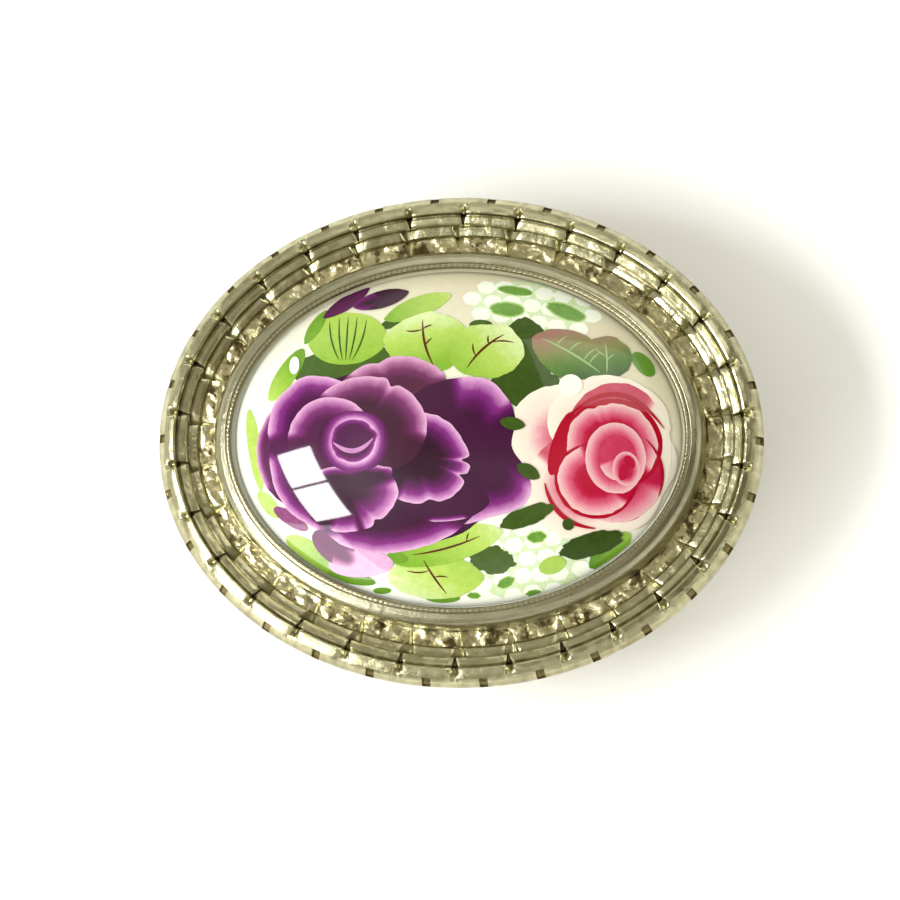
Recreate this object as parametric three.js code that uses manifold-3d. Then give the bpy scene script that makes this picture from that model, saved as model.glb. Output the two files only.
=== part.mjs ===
// Oval pill box: a cast metal base and a hinged lid with a domed clay cabochon.
// Millimetres, +Z up. X is the long axis, +Y is the hinge side, -Y the opening side.
// The origin is the centre of the underside.

import * as THREE from 'three';
import { mergeVertices } from 'three/addons/utils/BufferGeometryUtils.js';
import Module from 'manifold-3d';

const wasm = await Module();
wasm.setup();

// ---- driving dimensions ------------------------------------------------------------------

const LID_HALF_LENGTH = 26.45;  // half the lid's outline along X
const LID_HALF_WIDTH = 21.55;   // half the lid's outline along Y
const GAP = 0.3;                // air between pieces that rest on or sit in each other

// Insets are measured inwards from the lid's outline, square to it.
const WALL_INSET = 2.75;
const WALL_THICKNESS = 1.3;
const COLLAR_THICKNESS = 0.6;

const SEAM_Z = 10.5;            // top of the base wall
const FLOOR_THICKNESS = 1.0;
const COLLAR_BOTTOM_Z = 7.4;
const COLLAR_TOP_Z = 11.7;
const TRAY_TOP_Z = 8.0;
const TRAY_WALL = 0.8;
const TRAY_BASE = 0.9;
const TRAY_DIVIDER_DROP = 0.4;   // how far the dividers stop below the tray's rim

const PLATE_BOTTOM_Z = 12.0;    // underside of the lid's plate
const CHANNEL_Z = 12.9;         // channel floor between border and bezel
const FLANGE_BOTTOM_Z = 12.4;
const CREST_Z = 14.5;           // highest line of the border

const GROOVE_COUNT = 30;
const GROOVE_APEX_INSET = 4.7;
const GROOVE_MOUTH_INSET = 1.75;
const GROOVE_HALF_WIDTH = 0.65;
const NOTCH_DEPTH = 0.6;
const NOTCH_HALF_WIDTH = 0.45;
const NOTCH_BOTTOM_Z = 13.0;

const BEZEL_FOOT_INSET = 4.95;
const BEZEL_TOP_Z = 15.6;
const BEZEL_BORE_INSET = 6.1;
const BEZEL_LIP_INSET = 6.7;

const DOME_HALF_LENGTH = 19.5;
const DOME_HALF_WIDTH = 14.7;
const DOME_EDGE_Z = 14.7;
const DOME_HEIGHT = 4.5;
const DOME_FULLNESS = 0.75;     // 0.5 is an ellipsoid, 1 a paraboloid
const DOME_SHOULDER = 1.025;    // the shoulder under the bezel's lip, as a share of the dome
const SLICE_REACH = 0.965;      // slices stop here, so that the ground keeps a whole rim
const INLAY_EDGE_THICKNESS = 0.8;
const INLAY_CROWN_THICKNESS = 1.2;

const HINGE_Y = 20.0;
const HINGE_Z = 10.0;
const KNUCKLE_RADIUS = 0.9;
const PIN_RADIUS = 0.45;
const BORE_RADIUS = 0.6;
const LEAF_HALF_LENGTH = 6.0;
const LID_KNUCKLE_HALF_LENGTH = 2.2;
const LEAF_BOTTOM_Z = 5.4;
const LEAF_OUTER_INSET = 2.05;
const WEB_INSET = 1.2;
const LID_LEAF_INSET = 0.9;
const LID_LEAF_BOTTOM_Z = 11.6;
const LEAF_INNER_INSET = WALL_INSET - GAP;

const MIRROR_INSET = 8.2;
const MIRROR_BOTTOM_Z = 10.2;
const MIRROR_THICKNESS = 0.8;
const MIRROR_RIM_INSET = 7.5;
const MIRROR_RIM_LIP = 0.6;       // how far the rim reaches over the glass

const CATCH_HALF_LENGTH = 4.0;
const CATCH_STRIP = 0.35;         // thickness of the spring strip
const CATCH_NOSE = 0.3;           // how far its nose stands out
const CATCH_BOTTOM_Z = 8.4;
const CATCH_TOP_Z = 11.2;
const TAB_INSET = 6.45;
const TAB_THICKNESS = 0.45;
const TAB_BOTTOM_Z = 8.6;

const RING_STEPS = 56;
const SMALL_RING_STEPS = 40;
const ROUND_STEPS = 12;

// ---- materials ---------------------------------------------------------------------------

const material = (color, roughness, metalness) =>
  new THREE.MeshStandardMaterial({ color, roughness, metalness });

const FINISHES = {
  castMetal: () => material(0xc3bb92, 0.35, 1.0),
  bezelMetal: () => material(0xb4af8a, 0.3, 1.0),
  steel: () => material(0xb9bcbe, 0.3, 1.0),
  springBrass: () => material(0xc8a860, 0.35, 1.0),
  creamClay: () => material(0xdedcbc, 0.25, 0.0),
  purpleClay: () => material(0x5a1a52, 0.25, 0.0),
  pinkClay: () => material(0xc44a6c, 0.25, 0.0),
  leafClay: () => material(0x87a838, 0.25, 0.0),
  darkLeafClay: () => material(0x3c5218, 0.25, 0.0),
  blankClay: () => material(0xc9c6b4, 0.5, 0.0),
  trayPlastic: () => material(0xe9e7de, 0.35, 0.0),
  mirrorSilver: () => material(0xdfe3e6, 0.05, 1.0),
  foam: () => material(0x55585a, 0.9, 0.0),
};

// ---- solids ------------------------------------------------------------------------------

/** A closed three.js geometry as a solid that can be joined and cut, turned outwards. */
function toSolid(geometry) {
  const bare = geometry.clone();
  bare.deleteAttribute('normal');
  bare.deleteAttribute('uv');
  const merged = mergeVertices(bare, 1e-4);
  const vertProperties = new Float32Array(merged.attributes.position.array);
  const triVerts = new Uint32Array(merged.index.array);
  const build = () => new wasm.Manifold(new wasm.Mesh({ numProp: 3, vertProperties, triVerts }));
  const solid = build();
  if (solid.volume() > 0) return solid;
  for (let i = 0; i < triVerts.length; i += 3) {
    [triVerts[i], triVerts[i + 1]] = [triVerts[i + 1], triVerts[i]];
  }
  return build();
}

function toGeometry(solid) {
  const mesh = solid.getMesh();
  const geometry = new THREE.BufferGeometry();
  geometry.setAttribute('position', new THREE.BufferAttribute(mesh.vertProperties, 3));
  geometry.setIndex(new THREE.BufferAttribute(mesh.triVerts, 1));
  geometry.computeVertexNormals();
  return geometry;
}

const join = (...solids) => solids.reduce((whole, next) => whole.add(next));
const largestPiece = (solid) => solid.decompose().sort((a, b) => b.volume() - a.volume())[0];

function box([x0, x1], [y0, y1], [z0, z1]) {
  const geometry = new THREE.BoxGeometry(x1 - x0, y1 - y0, z1 - z0);
  geometry.translate((x0 + x1) / 2, (y0 + y1) / 2, (z0 + z1) / 2);
  return toSolid(geometry);
}

function rodAlongX(radius, x0, x1, y, z) {
  const geometry = new THREE.CylinderGeometry(radius, radius, x1 - x0, ROUND_STEPS);
  geometry.rotateZ(Math.PI / 2);
  geometry.translate((x0 + x1) / 2, y, z);
  return toSolid(geometry);
}

/** An outline drawn in the XY plane, from height z0 to height z1. */
function prism(points, z0, z1) {
  const shape = new THREE.Shape(points.map(([x, y]) => new THREE.Vector2(x, y)));
  const geometry = new THREE.ExtrudeGeometry(shape, { depth: z1 - z0, bevelEnabled: false });
  geometry.translate(0, 0, z0);
  return toSolid(geometry);
}

// ---- the oval that everything follows ----------------------------------------------------

const outline = new THREE.EllipseCurve(0, 0, LID_HALF_LENGTH, LID_HALF_WIDTH);
outline.arcLengthDivisions = 2000;

/** The point at share u of the way round, moved inwards by inset and along by shift. */
function ovalPoint(u, inset, shift = 0) {
  const at = outline.getPointAt(u - Math.floor(u));
  const along = outline.getTangentAt(u - Math.floor(u));
  return [at.x - inset * along.y + shift * along.x, at.y + inset * along.x + shift * along.y];
}

/** A ring round the oval: a closed profile of [inset, z] points carried along the outline. */
function ovalRing(profile, steps = RING_STEPS) {
  const turned = profile.map(([inset, z]) => new THREE.Vector2(LID_HALF_LENGTH - inset, z));
  const geometry = new THREE.LatheGeometry([...turned, turned[0]], steps);
  const position = geometry.attributes.position;
  for (let i = 0; i < position.count; i += 1) {
    const inset = LID_HALF_LENGTH - Math.hypot(position.getX(i), position.getZ(i));
    const turn = Math.atan2(position.getZ(i), position.getX(i)) / (2 * Math.PI);
    const step = Math.round(turn * steps) / steps;
    const [x, y] = ovalPoint(step, inset);
    position.setXYZ(i, x, y, position.getY(i));
  }
  return toSolid(geometry);
}

/** A flat oval plate whose edge is inset from the outline. */
function ovalPlate(inset, z0, z1, steps = RING_STEPS) {
  const edge = Array.from({ length: steps }, (_, i) => ovalPoint(i / steps, inset));
  return prism(edge, z0, z1);
}

// ---- base --------------------------------------------------------------------------------

/** Cast wall with two V joints round it, so that it reads as three courses. */
function baseWall() {
  const outer = WALL_INSET;
  const inner = WALL_INSET + WALL_THICKNESS;
  const jointDepth = 0.25;
  const jointHalfHeight = 0.2;
  const joints = [SEAM_Z / 3, (2 * SEAM_Z) / 3].flatMap((z) => [
    [outer, z - jointHalfHeight],
    [outer + jointDepth, z],
    [outer, z + jointHalfHeight],
  ]);
  const chamfer = 0.3;
  return ovalRing([
    [outer + chamfer, 0],
    [outer, chamfer],
    ...joints,
    [outer, SEAM_Z],
    [inner, SEAM_Z],
    [inner, 0],
  ]);
}

const baseFloor = () => ovalPlate(WALL_INSET + WALL_THICKNESS + GAP, 0, FLOOR_THICKNESS);

/** Thin ring standing inside the wall: the lid's skirt closes over its top. */
function baseCollar() {
  const outer = WALL_INSET + WALL_THICKNESS + GAP;
  const inner = outer + COLLAR_THICKNESS;
  const chamfer = 0.2;
  return ovalRing([
    [outer, COLLAR_BOTTOM_Z],
    [outer, COLLAR_TOP_Z - chamfer],
    [outer + chamfer, COLLAR_TOP_Z],
    [inner, COLLAR_TOP_Z],
    [inner, COLLAR_BOTTOM_Z],
  ]);
}

/** Moulded insert: one long compartment on the left and two shorter ones on the right. */
function pillTray() {
  const outer = WALL_INSET + WALL_THICKNESS + COLLAR_THICKNESS + 2 * GAP;
  const bottom = FLOOR_THICKNESS + GAP;
  const wall = ovalRing([
    [outer, bottom],
    [outer, TRAY_TOP_Z],
    [outer + TRAY_WALL, TRAY_TOP_Z],
    [outer + TRAY_WALL, bottom],
  ], SMALL_RING_STEPS);
  const sheet = ovalPlate(outer + TRAY_WALL / 2, bottom, bottom + TRAY_BASE, SMALL_RING_STEPS);
  const inside = ovalPlate(outer + TRAY_WALL / 2, bottom, TRAY_TOP_Z, SMALL_RING_STEPS);
  const half = TRAY_WALL / 2;
  const height = [bottom, TRAY_TOP_Z - TRAY_DIVIDER_DROP];
  const across = box([-half, half], [-LID_HALF_WIDTH, LID_HALF_WIDTH], height);
  const along = box([0, LID_HALF_LENGTH], [-half, half], height);
  return join(wall, sheet, join(across, along).intersect(inside));
}

/** Leaf of the hinge on the wall: a curved plate, two webs and two bored knuckles. */
function hingeLeafBase() {
  const plateTop = HINGE_Z - KNUCKLE_RADIUS - GAP;
  const plate = ovalRing([
    [LEAF_OUTER_INSET, LEAF_BOTTOM_Z],
    [LEAF_OUTER_INSET, plateTop],
    [LEAF_INNER_INSET, plateTop],
    [LEAF_INNER_INSET, LEAF_BOTTOM_Z],
  ]).intersect(box([-LEAF_HALF_LENGTH, LEAF_HALF_LENGTH], [0, LID_HALF_WIDTH], [0, SEAM_Z]));
  const webBottom = plateTop - 0.2;
  const webTop = HINGE_Z - 0.1;
  const webs = ovalRing([
    [WEB_INSET, webBottom],
    [WEB_INSET, webTop],
    [LEAF_INNER_INSET, webTop],
    [LEAF_INNER_INSET, webBottom],
  ]);
  const inner = LID_KNUCKLE_HALF_LENGTH + GAP;
  const sides = [[-LEAF_HALF_LENGTH, -inner], [inner, LEAF_HALF_LENGTH]];
  const pieces = sides.flatMap(([x0, x1]) => [
    webs.intersect(box([x0, x1], [0, LID_HALF_WIDTH], [0, SEAM_Z])),
    rodAlongX(KNUCKLE_RADIUS, x0, x1, HINGE_Y, HINGE_Z),
  ]);
  return join(plate, ...pieces).subtract(hingeBore());
}

const hingeBore = () => rodAlongX(BORE_RADIUS, -LID_HALF_LENGTH, LID_HALF_LENGTH, HINGE_Y, HINGE_Z);
const hingePin = () => rodAlongX(
  PIN_RADIUS, -LEAF_HALF_LENGTH - 0.2, LEAF_HALF_LENGTH + 0.2, HINGE_Y, HINGE_Z);

/** Strip bent from flat spring, standing inside the collar, with a nose near its top. */
function catchSpring() {
  const back = WALL_INSET + WALL_THICKNESS + COLLAR_THICKNESS + 2 * GAP;
  const front = back + CATCH_STRIP;
  const noseZ = CATCH_TOP_Z - 1;
  const noseHalf = 0.4;
  const strip = ovalRing([
    [back, CATCH_BOTTOM_Z],
    [back, CATCH_TOP_Z],
    [front, CATCH_TOP_Z],
    [front, noseZ + noseHalf],
    [front + CATCH_NOSE, noseZ],
    [front, noseZ - noseHalf],
    [front, CATCH_BOTTOM_Z],
  ]);
  const window = box([-CATCH_HALF_LENGTH, CATCH_HALF_LENGTH], [-LID_HALF_WIDTH, 0], [0, CREST_Z]);
  return strip.intersect(window);
}

// ---- lid ---------------------------------------------------------------------------------

/** Wedge standing on the channel floor, its point towards the bezel. */
function grooveCutter(u) {
  const plan = [
    ovalPoint(u, GROOVE_APEX_INSET),
    ovalPoint(u, GROOVE_MOUTH_INSET, GROOVE_HALF_WIDTH),
    ovalPoint(u, GROOVE_MOUTH_INSET, -GROOVE_HALF_WIDTH),
  ];
  return prism(plan, CHANNEL_Z + 0.15, CREST_Z + 1);
}

function notchCutter(u) {
  const plan = [
    ovalPoint(u, -1, -NOTCH_HALF_WIDTH),
    ovalPoint(u, -1, NOTCH_HALF_WIDTH),
    ovalPoint(u, NOTCH_DEPTH, NOTCH_HALF_WIDTH),
    ovalPoint(u, NOTCH_DEPTH, -NOTCH_HALF_WIDTH),
  ];
  return prism(plan, NOTCH_BOTTOM_Z, CREST_Z + 1);
}

/** Cast lid: stepped border, channel, plate under the cabochon, and the skirt below. */
function lidFrame() {
  const skirtOuter = WALL_INSET;
  const skirtInner = WALL_INSET + WALL_THICKNESS;
  const skirtBottom = SEAM_Z + GAP;
  const plateReach = 5.0;
  const border = ovalRing([
    [0.3, FLANGE_BOTTOM_Z],
    [0, FLANGE_BOTTOM_Z + 0.3],
    [0, 13.0],
    [0.7, 14.1],
    [1.6, CREST_Z],
    [1.75, 14.1],
    [2.6, 13.9],
    [2.65, 13.5],
    [3.45, 13.2],
    [3.55, CHANNEL_Z],
    [plateReach, CHANNEL_Z],
    [plateReach, PLATE_BOTTOM_Z],
    [skirtInner, PLATE_BOTTOM_Z],
    [skirtInner, skirtBottom],
    [skirtOuter, skirtBottom],
    [skirtOuter, FLANGE_BOTTOM_Z],
  ]);
  const plate = ovalPlate(plateReach - 0.4, PLATE_BOTTOM_Z, CHANNEL_Z);
  const stations = Array.from({ length: GROOVE_COUNT }, (_, i) => 0.25 + i / GROOVE_COUNT);
  const half = 0.5 / GROOVE_COUNT;
  const cuts = stations.flatMap((u) => [grooveCutter(u), notchCutter(u + half)]);
  return join(border, plate).subtract(join(...cuts));
}

/** Sloping collar whose lip stands over the cabochon's shoulder. */
function bezelRing() {
  const bottom = CHANNEL_Z + GAP;
  return ovalRing([
    [BEZEL_FOOT_INSET, bottom],
    [5.2, 14.0],
    [6.0, 15.35],
    [6.35, BEZEL_TOP_Z],
    [BEZEL_LIP_INSET, 15.4],
    [BEZEL_LIP_INSET, 15.1],
    [BEZEL_BORE_INSET, 14.8],
    [BEZEL_BORE_INSET, bottom],
  ]);
}

/** Height of a dome above its edge at share r of the way out. */
const domeRise = (r, height) => height * Math.pow(Math.max(0, 1 - r * r), DOME_FULLNESS);

const DOME_SHARES = [0, 0.3, 0.55, 0.75, 0.9, 1];

/** An oval solid of revolution: a profile of [share of the dome's half size, z] points. */
function ovalTurned(profile) {
  const points = profile.map(([share, z]) => new THREE.Vector2(share, z));
  const geometry = new THREE.LatheGeometry(points, SMALL_RING_STEPS);
  geometry.rotateX(Math.PI / 2);
  geometry.scale(DOME_HALF_LENGTH, DOME_HALF_WIDTH, 1);
  return toSolid(geometry);
}

function cabochonCore() {
  const edge = DOME_EDGE_Z - INLAY_EDGE_THICKNESS - GAP;
  const height = DOME_HEIGHT - (INLAY_CROWN_THICKNESS - INLAY_EDGE_THICKNESS);
  return ovalTurned([
    [0, CHANNEL_Z + GAP],
    [DOME_SHOULDER, CHANNEL_Z + GAP],
    [DOME_SHOULDER, edge - 0.1],
    ...DOME_SHARES.map((r) => [r, edge + domeRise(r, height)]).reverse(),
  ]);
}

/** The whole patterned sheet over the core, before it is divided into its slices. */
function inlaySheet() {
  const edge = DOME_EDGE_Z - INLAY_EDGE_THICKNESS;
  const height = DOME_HEIGHT - (INLAY_CROWN_THICKNESS - INLAY_EDGE_THICKNESS);
  return ovalTurned([
    ...DOME_SHARES.map((r) => [r, edge + domeRise(r, height)]),
    [DOME_SHOULDER, edge],
    [DOME_SHOULDER, DOME_EDGE_Z - 0.2],
    ...DOME_SHARES.map((r) => [r, DOME_EDGE_Z + domeRise(r, DOME_HEIGHT)]).reverse(),
  ]);
}

// Each slice is an oval seen from above: its centre, its half sizes and its turn anticlockwise
// in degrees. Petals ripple the edge of a rose, and tip draws an oval's ends out into a leaf's.
const SLICES = {
  purple_rose_slice: {
    finish: 'purpleClay', centre: [-5.2, -2.7], half: [11.4, 8.0], turn: -12, petals: 9,
  },
  pink_rose_slice: { finish: 'pinkClay', centre: [11.8, -2.2], half: [6.8, 6.2], petals: 7 },
  top_leaf_slice: { finish: 'leafClay', centre: [-0.2, 7.8], half: [6.0, 2.9], tip: 0.3 },
  bud_slice: { finish: 'leafClay', centre: [-9.9, 8.4], half: [3.5, 2.5], turn: 10 },
  right_leaf_slice: {
    finish: 'darkLeafClay', centre: [10.8, 6.9], half: [4.4, 2.5], turn: -10, tip: 0.3,
  },
  bottom_leaf_slice: { finish: 'leafClay', centre: [-1.4, -11.3], half: [4.0, 2.2], turn: 8 },
  left_leaf_slice: {
    finish: 'leafClay', centre: [-17.4, -1.3], half: [4.0, 0.8], turn: 97, tip: 0.3,
  },
  corner_leaf_slice: {
    finish: 'leafClay', centre: [-10.9, -11.2], half: [5.2, 1.5], turn: -31, tip: 0.3,
  },
  top_blossom_slice: { finish: 'creamClay', centre: [6.3, 11.2], half: [5.0, 1.9], turn: -6 },
  bottom_blossom_slice: { finish: 'creamClay', centre: [7.4, -10.5], half: [4.6, 2.8] },
};

const SLICE_STEPS = 36;
const PETAL_DEPTH = 0.04;       // ripple of a rose's edge, as a share of its half size

/** The slice's outline, pushed out by margin so that a neighbour can be cut clear of it. */
function sliceOutline({ centre, half, turn = 0, petals = 0, tip = 0 }, margin = 0) {
  const lean = THREE.MathUtils.degToRad(turn);
  return Array.from({ length: SLICE_STEPS }, (_, i) => {
    const angle = (2 * Math.PI * i) / SLICE_STEPS;
    const ripple = petals ? 1 + PETAL_DEPTH * Math.cos(petals * angle) : 1;
    const narrowing = Math.pow(Math.abs(Math.sin(angle)), tip);
    const along = (half[0] * ripple + margin) * Math.cos(angle);
    const across = (half[1] * ripple * narrowing + margin) * Math.sin(angle);
    return [
      centre[0] + along * Math.cos(lean) - across * Math.sin(lean),
      centre[1] + along * Math.sin(lean) + across * Math.cos(lean),
    ];
  });
}

/** Divides the inlay sheet into the named slices and the ground that is left round them. */
function inlayPieces() {
  const below = CHANNEL_Z;
  const above = DOME_EDGE_Z + DOME_HEIGHT + 1;
  const rim = ovalTurned([[0, below], [SLICE_REACH, below], [SLICE_REACH, above], [0, above]]);
  const slab = inlaySheet();
  const sliceable = slab.intersect(rim);
  const pieces = [];
  let taken = null;
  for (const [name, slice] of Object.entries(SLICES)) {
    const own = prism(sliceOutline(slice), below, above);
    const free = taken ? own.subtract(taken) : own;
    const solid = largestPiece(sliceable.intersect(free));
    pieces.push({ name, finish: slice.finish, solid });
    const claim = prism(sliceOutline(slice, GAP), below, above);
    taken = taken ? taken.add(claim) : claim;
  }
  const groundRim = SLICE_REACH + 0.012;
  const rimGap = ovalTurned([[0, below], [groundRim, below], [groundRim, above], [0, above]]);
  const ground = largestPiece(slab.subtract(taken.intersect(rimGap)));
  pieces.push({ name: 'clay_ground', finish: 'creamClay', solid: ground });
  return pieces;
}

/** Leaf of the hinge under the lid's flange: a plate, a web and the middle knuckle. */
function hingeLeafLid() {
  const half = LID_KNUCKLE_HALF_LENGTH;
  const plate = ovalRing([
    [LID_LEAF_INSET, LID_LEAF_BOTTOM_Z],
    [LID_LEAF_INSET, FLANGE_BOTTOM_Z - GAP],
    [LEAF_INNER_INSET, FLANGE_BOTTOM_Z - GAP],
    [LEAF_INNER_INSET, LID_LEAF_BOTTOM_Z],
  ]).intersect(box([-LEAF_HALF_LENGTH, LEAF_HALF_LENGTH], [0, LID_HALF_WIDTH], [0, CREST_Z]));
  const webTop = LID_LEAF_BOTTOM_Z + 0.2;
  const web = box([-half, half], [HINGE_Y - 0.7, HINGE_Y + 0.4], [HINGE_Z + 0.7, webTop]);
  const knuckle = rodAlongX(KNUCKLE_RADIUS, -half, half, HINGE_Y, HINGE_Z);
  return join(plate, web, knuckle).subtract(hingeBore());
}

/** Tab hanging inside the front of the lid, with a nose that clicks past the spring's. */
function catchTab() {
  const top = PLATE_BOTTOM_Z - GAP;
  const nose = 0.35;
  const strip = ovalRing([
    [TAB_INSET, TAB_BOTTOM_Z],
    [TAB_INSET - nose, TAB_BOTTOM_Z + nose],
    [TAB_INSET, TAB_BOTTOM_Z + 2 * nose],
    [TAB_INSET, top],
    [TAB_INSET + TAB_THICKNESS, top],
    [TAB_INSET + TAB_THICKNESS, TAB_BOTTOM_Z],
  ]);
  const half = CATCH_HALF_LENGTH - 0.6;
  return strip.intersect(box([-half, half], [-LID_HALF_WIDTH, 0], [0, CREST_Z]));
}

/** Rim that holds the mirror against the lid's plate. */
function mirrorRim() {
  const top = PLATE_BOTTOM_Z - GAP;
  const lipTop = MIRROR_BOTTOM_Z - GAP;
  const lipBottom = lipTop - 0.3;
  return ovalRing([
    [MIRROR_RIM_INSET, top],
    [MIRROR_RIM_INSET, lipTop],
    [MIRROR_RIM_INSET + 0.3, lipBottom],
    [MIRROR_INSET + MIRROR_RIM_LIP, lipBottom],
    [MIRROR_INSET + MIRROR_RIM_LIP, lipTop],
    [MIRROR_INSET - GAP, lipTop],
    [MIRROR_INSET - GAP, top],
  ], SMALL_RING_STEPS);
}

function mirrorGlass() {
  const top = MIRROR_BOTTOM_Z + MIRROR_THICKNESS;
  return ovalPlate(MIRROR_INSET, MIRROR_BOTTOM_Z, top, SMALL_RING_STEPS);
}

function mirrorPad() {
  const bottom = MIRROR_BOTTOM_Z + MIRROR_THICKNESS + GAP;
  return ovalPlate(MIRROR_INSET + 1, bottom, PLATE_BOTTOM_Z - GAP, SMALL_RING_STEPS);
}

// ---- assembly ----------------------------------------------------------------------------

function addPiece(group, name, solid, finish) {
  const mesh = new THREE.Mesh(toGeometry(solid), FINISHES[finish]());
  mesh.name = name;
  group.add(mesh);
}

function makeBase() {
  const base = new THREE.Group();
  addPiece(base, 'base_wall', baseWall(), 'castMetal');
  addPiece(base, 'base_floor', baseFloor(), 'castMetal');
  addPiece(base, 'base_collar', baseCollar(), 'castMetal');
  addPiece(base, 'pill_tray', pillTray(), 'trayPlastic');
  addPiece(base, 'hinge_leaf_base', hingeLeafBase(), 'castMetal');
  addPiece(base, 'hinge_pin', hingePin(), 'steel');
  addPiece(base, 'catch_spring', catchSpring(), 'springBrass');
  return base;
}

function makeLid() {
  const lid = new THREE.Group();
  addPiece(lid, 'lid_frame', lidFrame(), 'castMetal');
  addPiece(lid, 'bezel_ring', bezelRing(), 'bezelMetal');
  addPiece(lid, 'cabochon_core', cabochonCore(), 'blankClay');
  for (const { name, finish, solid } of inlayPieces()) addPiece(lid, name, solid, finish);
  addPiece(lid, 'hinge_leaf_lid', hingeLeafLid(), 'castMetal');
  addPiece(lid, 'catch_tab', catchTab(), 'springBrass');
  addPiece(lid, 'mirror_rim', mirrorRim(), 'trayPlastic');
  addPiece(lid, 'mirror_glass', mirrorGlass(), 'mirrorSilver');
  addPiece(lid, 'mirror_pad', mirrorPad(), 'foam');
  return lid;
}

const pillBox = new THREE.Group();
pillBox.add(makeBase(), makeLid());

export default pillBox;
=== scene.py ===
"""Looks of an oval pill box: cast metal border and base, and a domed clay cabochon with two roses.

Lengths are millimetres until a mesh is made, when they become metres. X is the long axis, +Y the
hinge side and +Z up. A place on the oval is given by u, the share of the way round from +X
anticlockwise, and by inset, the distance inwards from the lid's outline, square to it.
"""

import logging
import math
from dataclasses import dataclass, field
from enum import Enum

import bpy
import numpy as np
from mathutils import Matrix, Vector


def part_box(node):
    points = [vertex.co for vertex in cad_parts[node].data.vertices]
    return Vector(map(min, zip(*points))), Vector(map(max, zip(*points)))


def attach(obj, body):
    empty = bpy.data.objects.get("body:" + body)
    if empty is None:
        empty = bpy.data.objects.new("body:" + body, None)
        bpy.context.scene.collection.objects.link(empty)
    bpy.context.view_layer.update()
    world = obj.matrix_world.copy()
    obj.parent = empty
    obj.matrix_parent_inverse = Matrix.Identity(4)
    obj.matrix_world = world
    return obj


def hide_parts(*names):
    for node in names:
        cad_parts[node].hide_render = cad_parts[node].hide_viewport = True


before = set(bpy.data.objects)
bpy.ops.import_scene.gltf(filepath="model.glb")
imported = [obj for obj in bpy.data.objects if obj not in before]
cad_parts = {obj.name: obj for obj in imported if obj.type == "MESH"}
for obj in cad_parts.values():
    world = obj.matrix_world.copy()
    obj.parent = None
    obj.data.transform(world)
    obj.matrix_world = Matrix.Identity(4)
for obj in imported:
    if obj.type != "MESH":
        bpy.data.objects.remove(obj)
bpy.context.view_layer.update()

MM = 0.001
LOG = logging.getLogger("pill_box")

Point = tuple[float, float]
Colour = tuple[float, float, float]
Direction = tuple[float, float, float]


class Body(Enum):
    """The two bodies that pieces ride on."""

    BASE = "base"
    LID = "lid"


class Slot(Enum):
    """Material slot names."""

    CAST = "cast_metal"
    BEZEL = "bezel_metal"
    STEEL = "pin_steel"
    BRASS = "spring_brass"
    CREAM = "clay_cream"
    PURPLE = "clay_purple"
    PINK = "clay_pink"
    LEAF = "clay_leaf"
    DARK_LEAF = "clay_dark_leaf"
    BLOSSOM = "clay_blossom"
    BLANK = "clay_blank"
    PLASTIC = "tray_plastic"
    MIRROR = "mirror_silver"
    FOAM = "foam"


# ---- noise and curves --------------------------------------------------------------------------


ROW_MIX, COLUMN_MIX, SEED_MIX, STRETCH = 127.1, 311.7, 74.7, 43758.5453


def lattice(i: np.ndarray, j: np.ndarray, seed: int) -> np.ndarray:
    """A fixed pseudo-random share from 0 to 1 for each whole-number place (i, j).

    Args:
        i: first whole-number coordinate.
        j: second whole-number coordinate.
        seed: chooses one of many independent patterns.

    Returns:
        The fractional part of a large sine of a mix of the two coordinates and the seed.
    """
    mixed = np.sin(i * ROW_MIX + j * COLUMN_MIX + seed * SEED_MIX) * STRETCH
    return mixed - np.floor(mixed)


def value_noise(x: np.ndarray, y: np.ndarray, cell: float, seed: int) -> np.ndarray:
    """Smooth noise: lattice values blended across each cell by the 3t^2 - 2t^3 curve.

    Args:
        x: first coordinate.
        y: second coordinate.
        cell: side of a lattice cell, in the coordinates' unit.
        seed: chooses the pattern.

    Returns:
        Values from -1 to 1.
    """
    gx, gy = x / cell, y / cell
    i, j = np.floor(gx), np.floor(gy)
    tx, ty = gx - i, gy - j
    tx, ty = tx * tx * (3 - 2 * tx), ty * ty * (3 - 2 * ty)
    low = lattice(i, j, seed) * (1 - tx) + lattice(i + 1, j, seed) * tx
    high = lattice(i, j + 1, seed) * (1 - tx) + lattice(i + 1, j + 1, seed) * tx
    return 2 * (low * (1 - ty) + high * ty) - 1


def smoothstep(low: float, high: float, x: np.ndarray) -> np.ndarray:
    """0 below low, 1 above high, and 3t^2 - 2t^3 in between.

    Args:
        low: where it starts to rise.
        high: where it reaches 1. It may be below low, and the step then falls.
        x: where to read it.

    Returns:
        Values from 0 to 1.
    """
    t = np.clip((x - low) / (high - low), 0, 1)
    return t * t * (3 - 2 * t)


def rounded(profile: list[Point], radius: float = 0.12, steps: int = 4) -> np.ndarray:
    """A closed profile whose corners are rounded, each by the curve that runs from radius before
    the corner to radius after it with the corner as its control point.

    Args:
        profile: the corners, in order.
        radius: how far from a corner its curve starts, at most 0.45 of the shorter side.
        steps: points on each corner's curve.

    Returns:
        The rounded profile's points.
    """
    p = np.array(profile, float)
    before, after = np.roll(p, 1, 0) - p, np.roll(p, -1, 0) - p
    reach_before = np.linalg.norm(before, axis=1, keepdims=True)
    reach_after = np.linalg.norm(after, axis=1, keepdims=True)
    r = np.minimum(radius, 0.45 * np.minimum(reach_before, reach_after))
    start, end = p + before / reach_before * r, p + after / reach_after * r
    t = np.linspace(0, 1, steps)[None, :, None]
    curve = start[:, None] * (1 - t) ** 2 + p[:, None] * 2 * t * (1 - t) + end[:, None] * t**2
    return curve.reshape(-1, 2)


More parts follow.
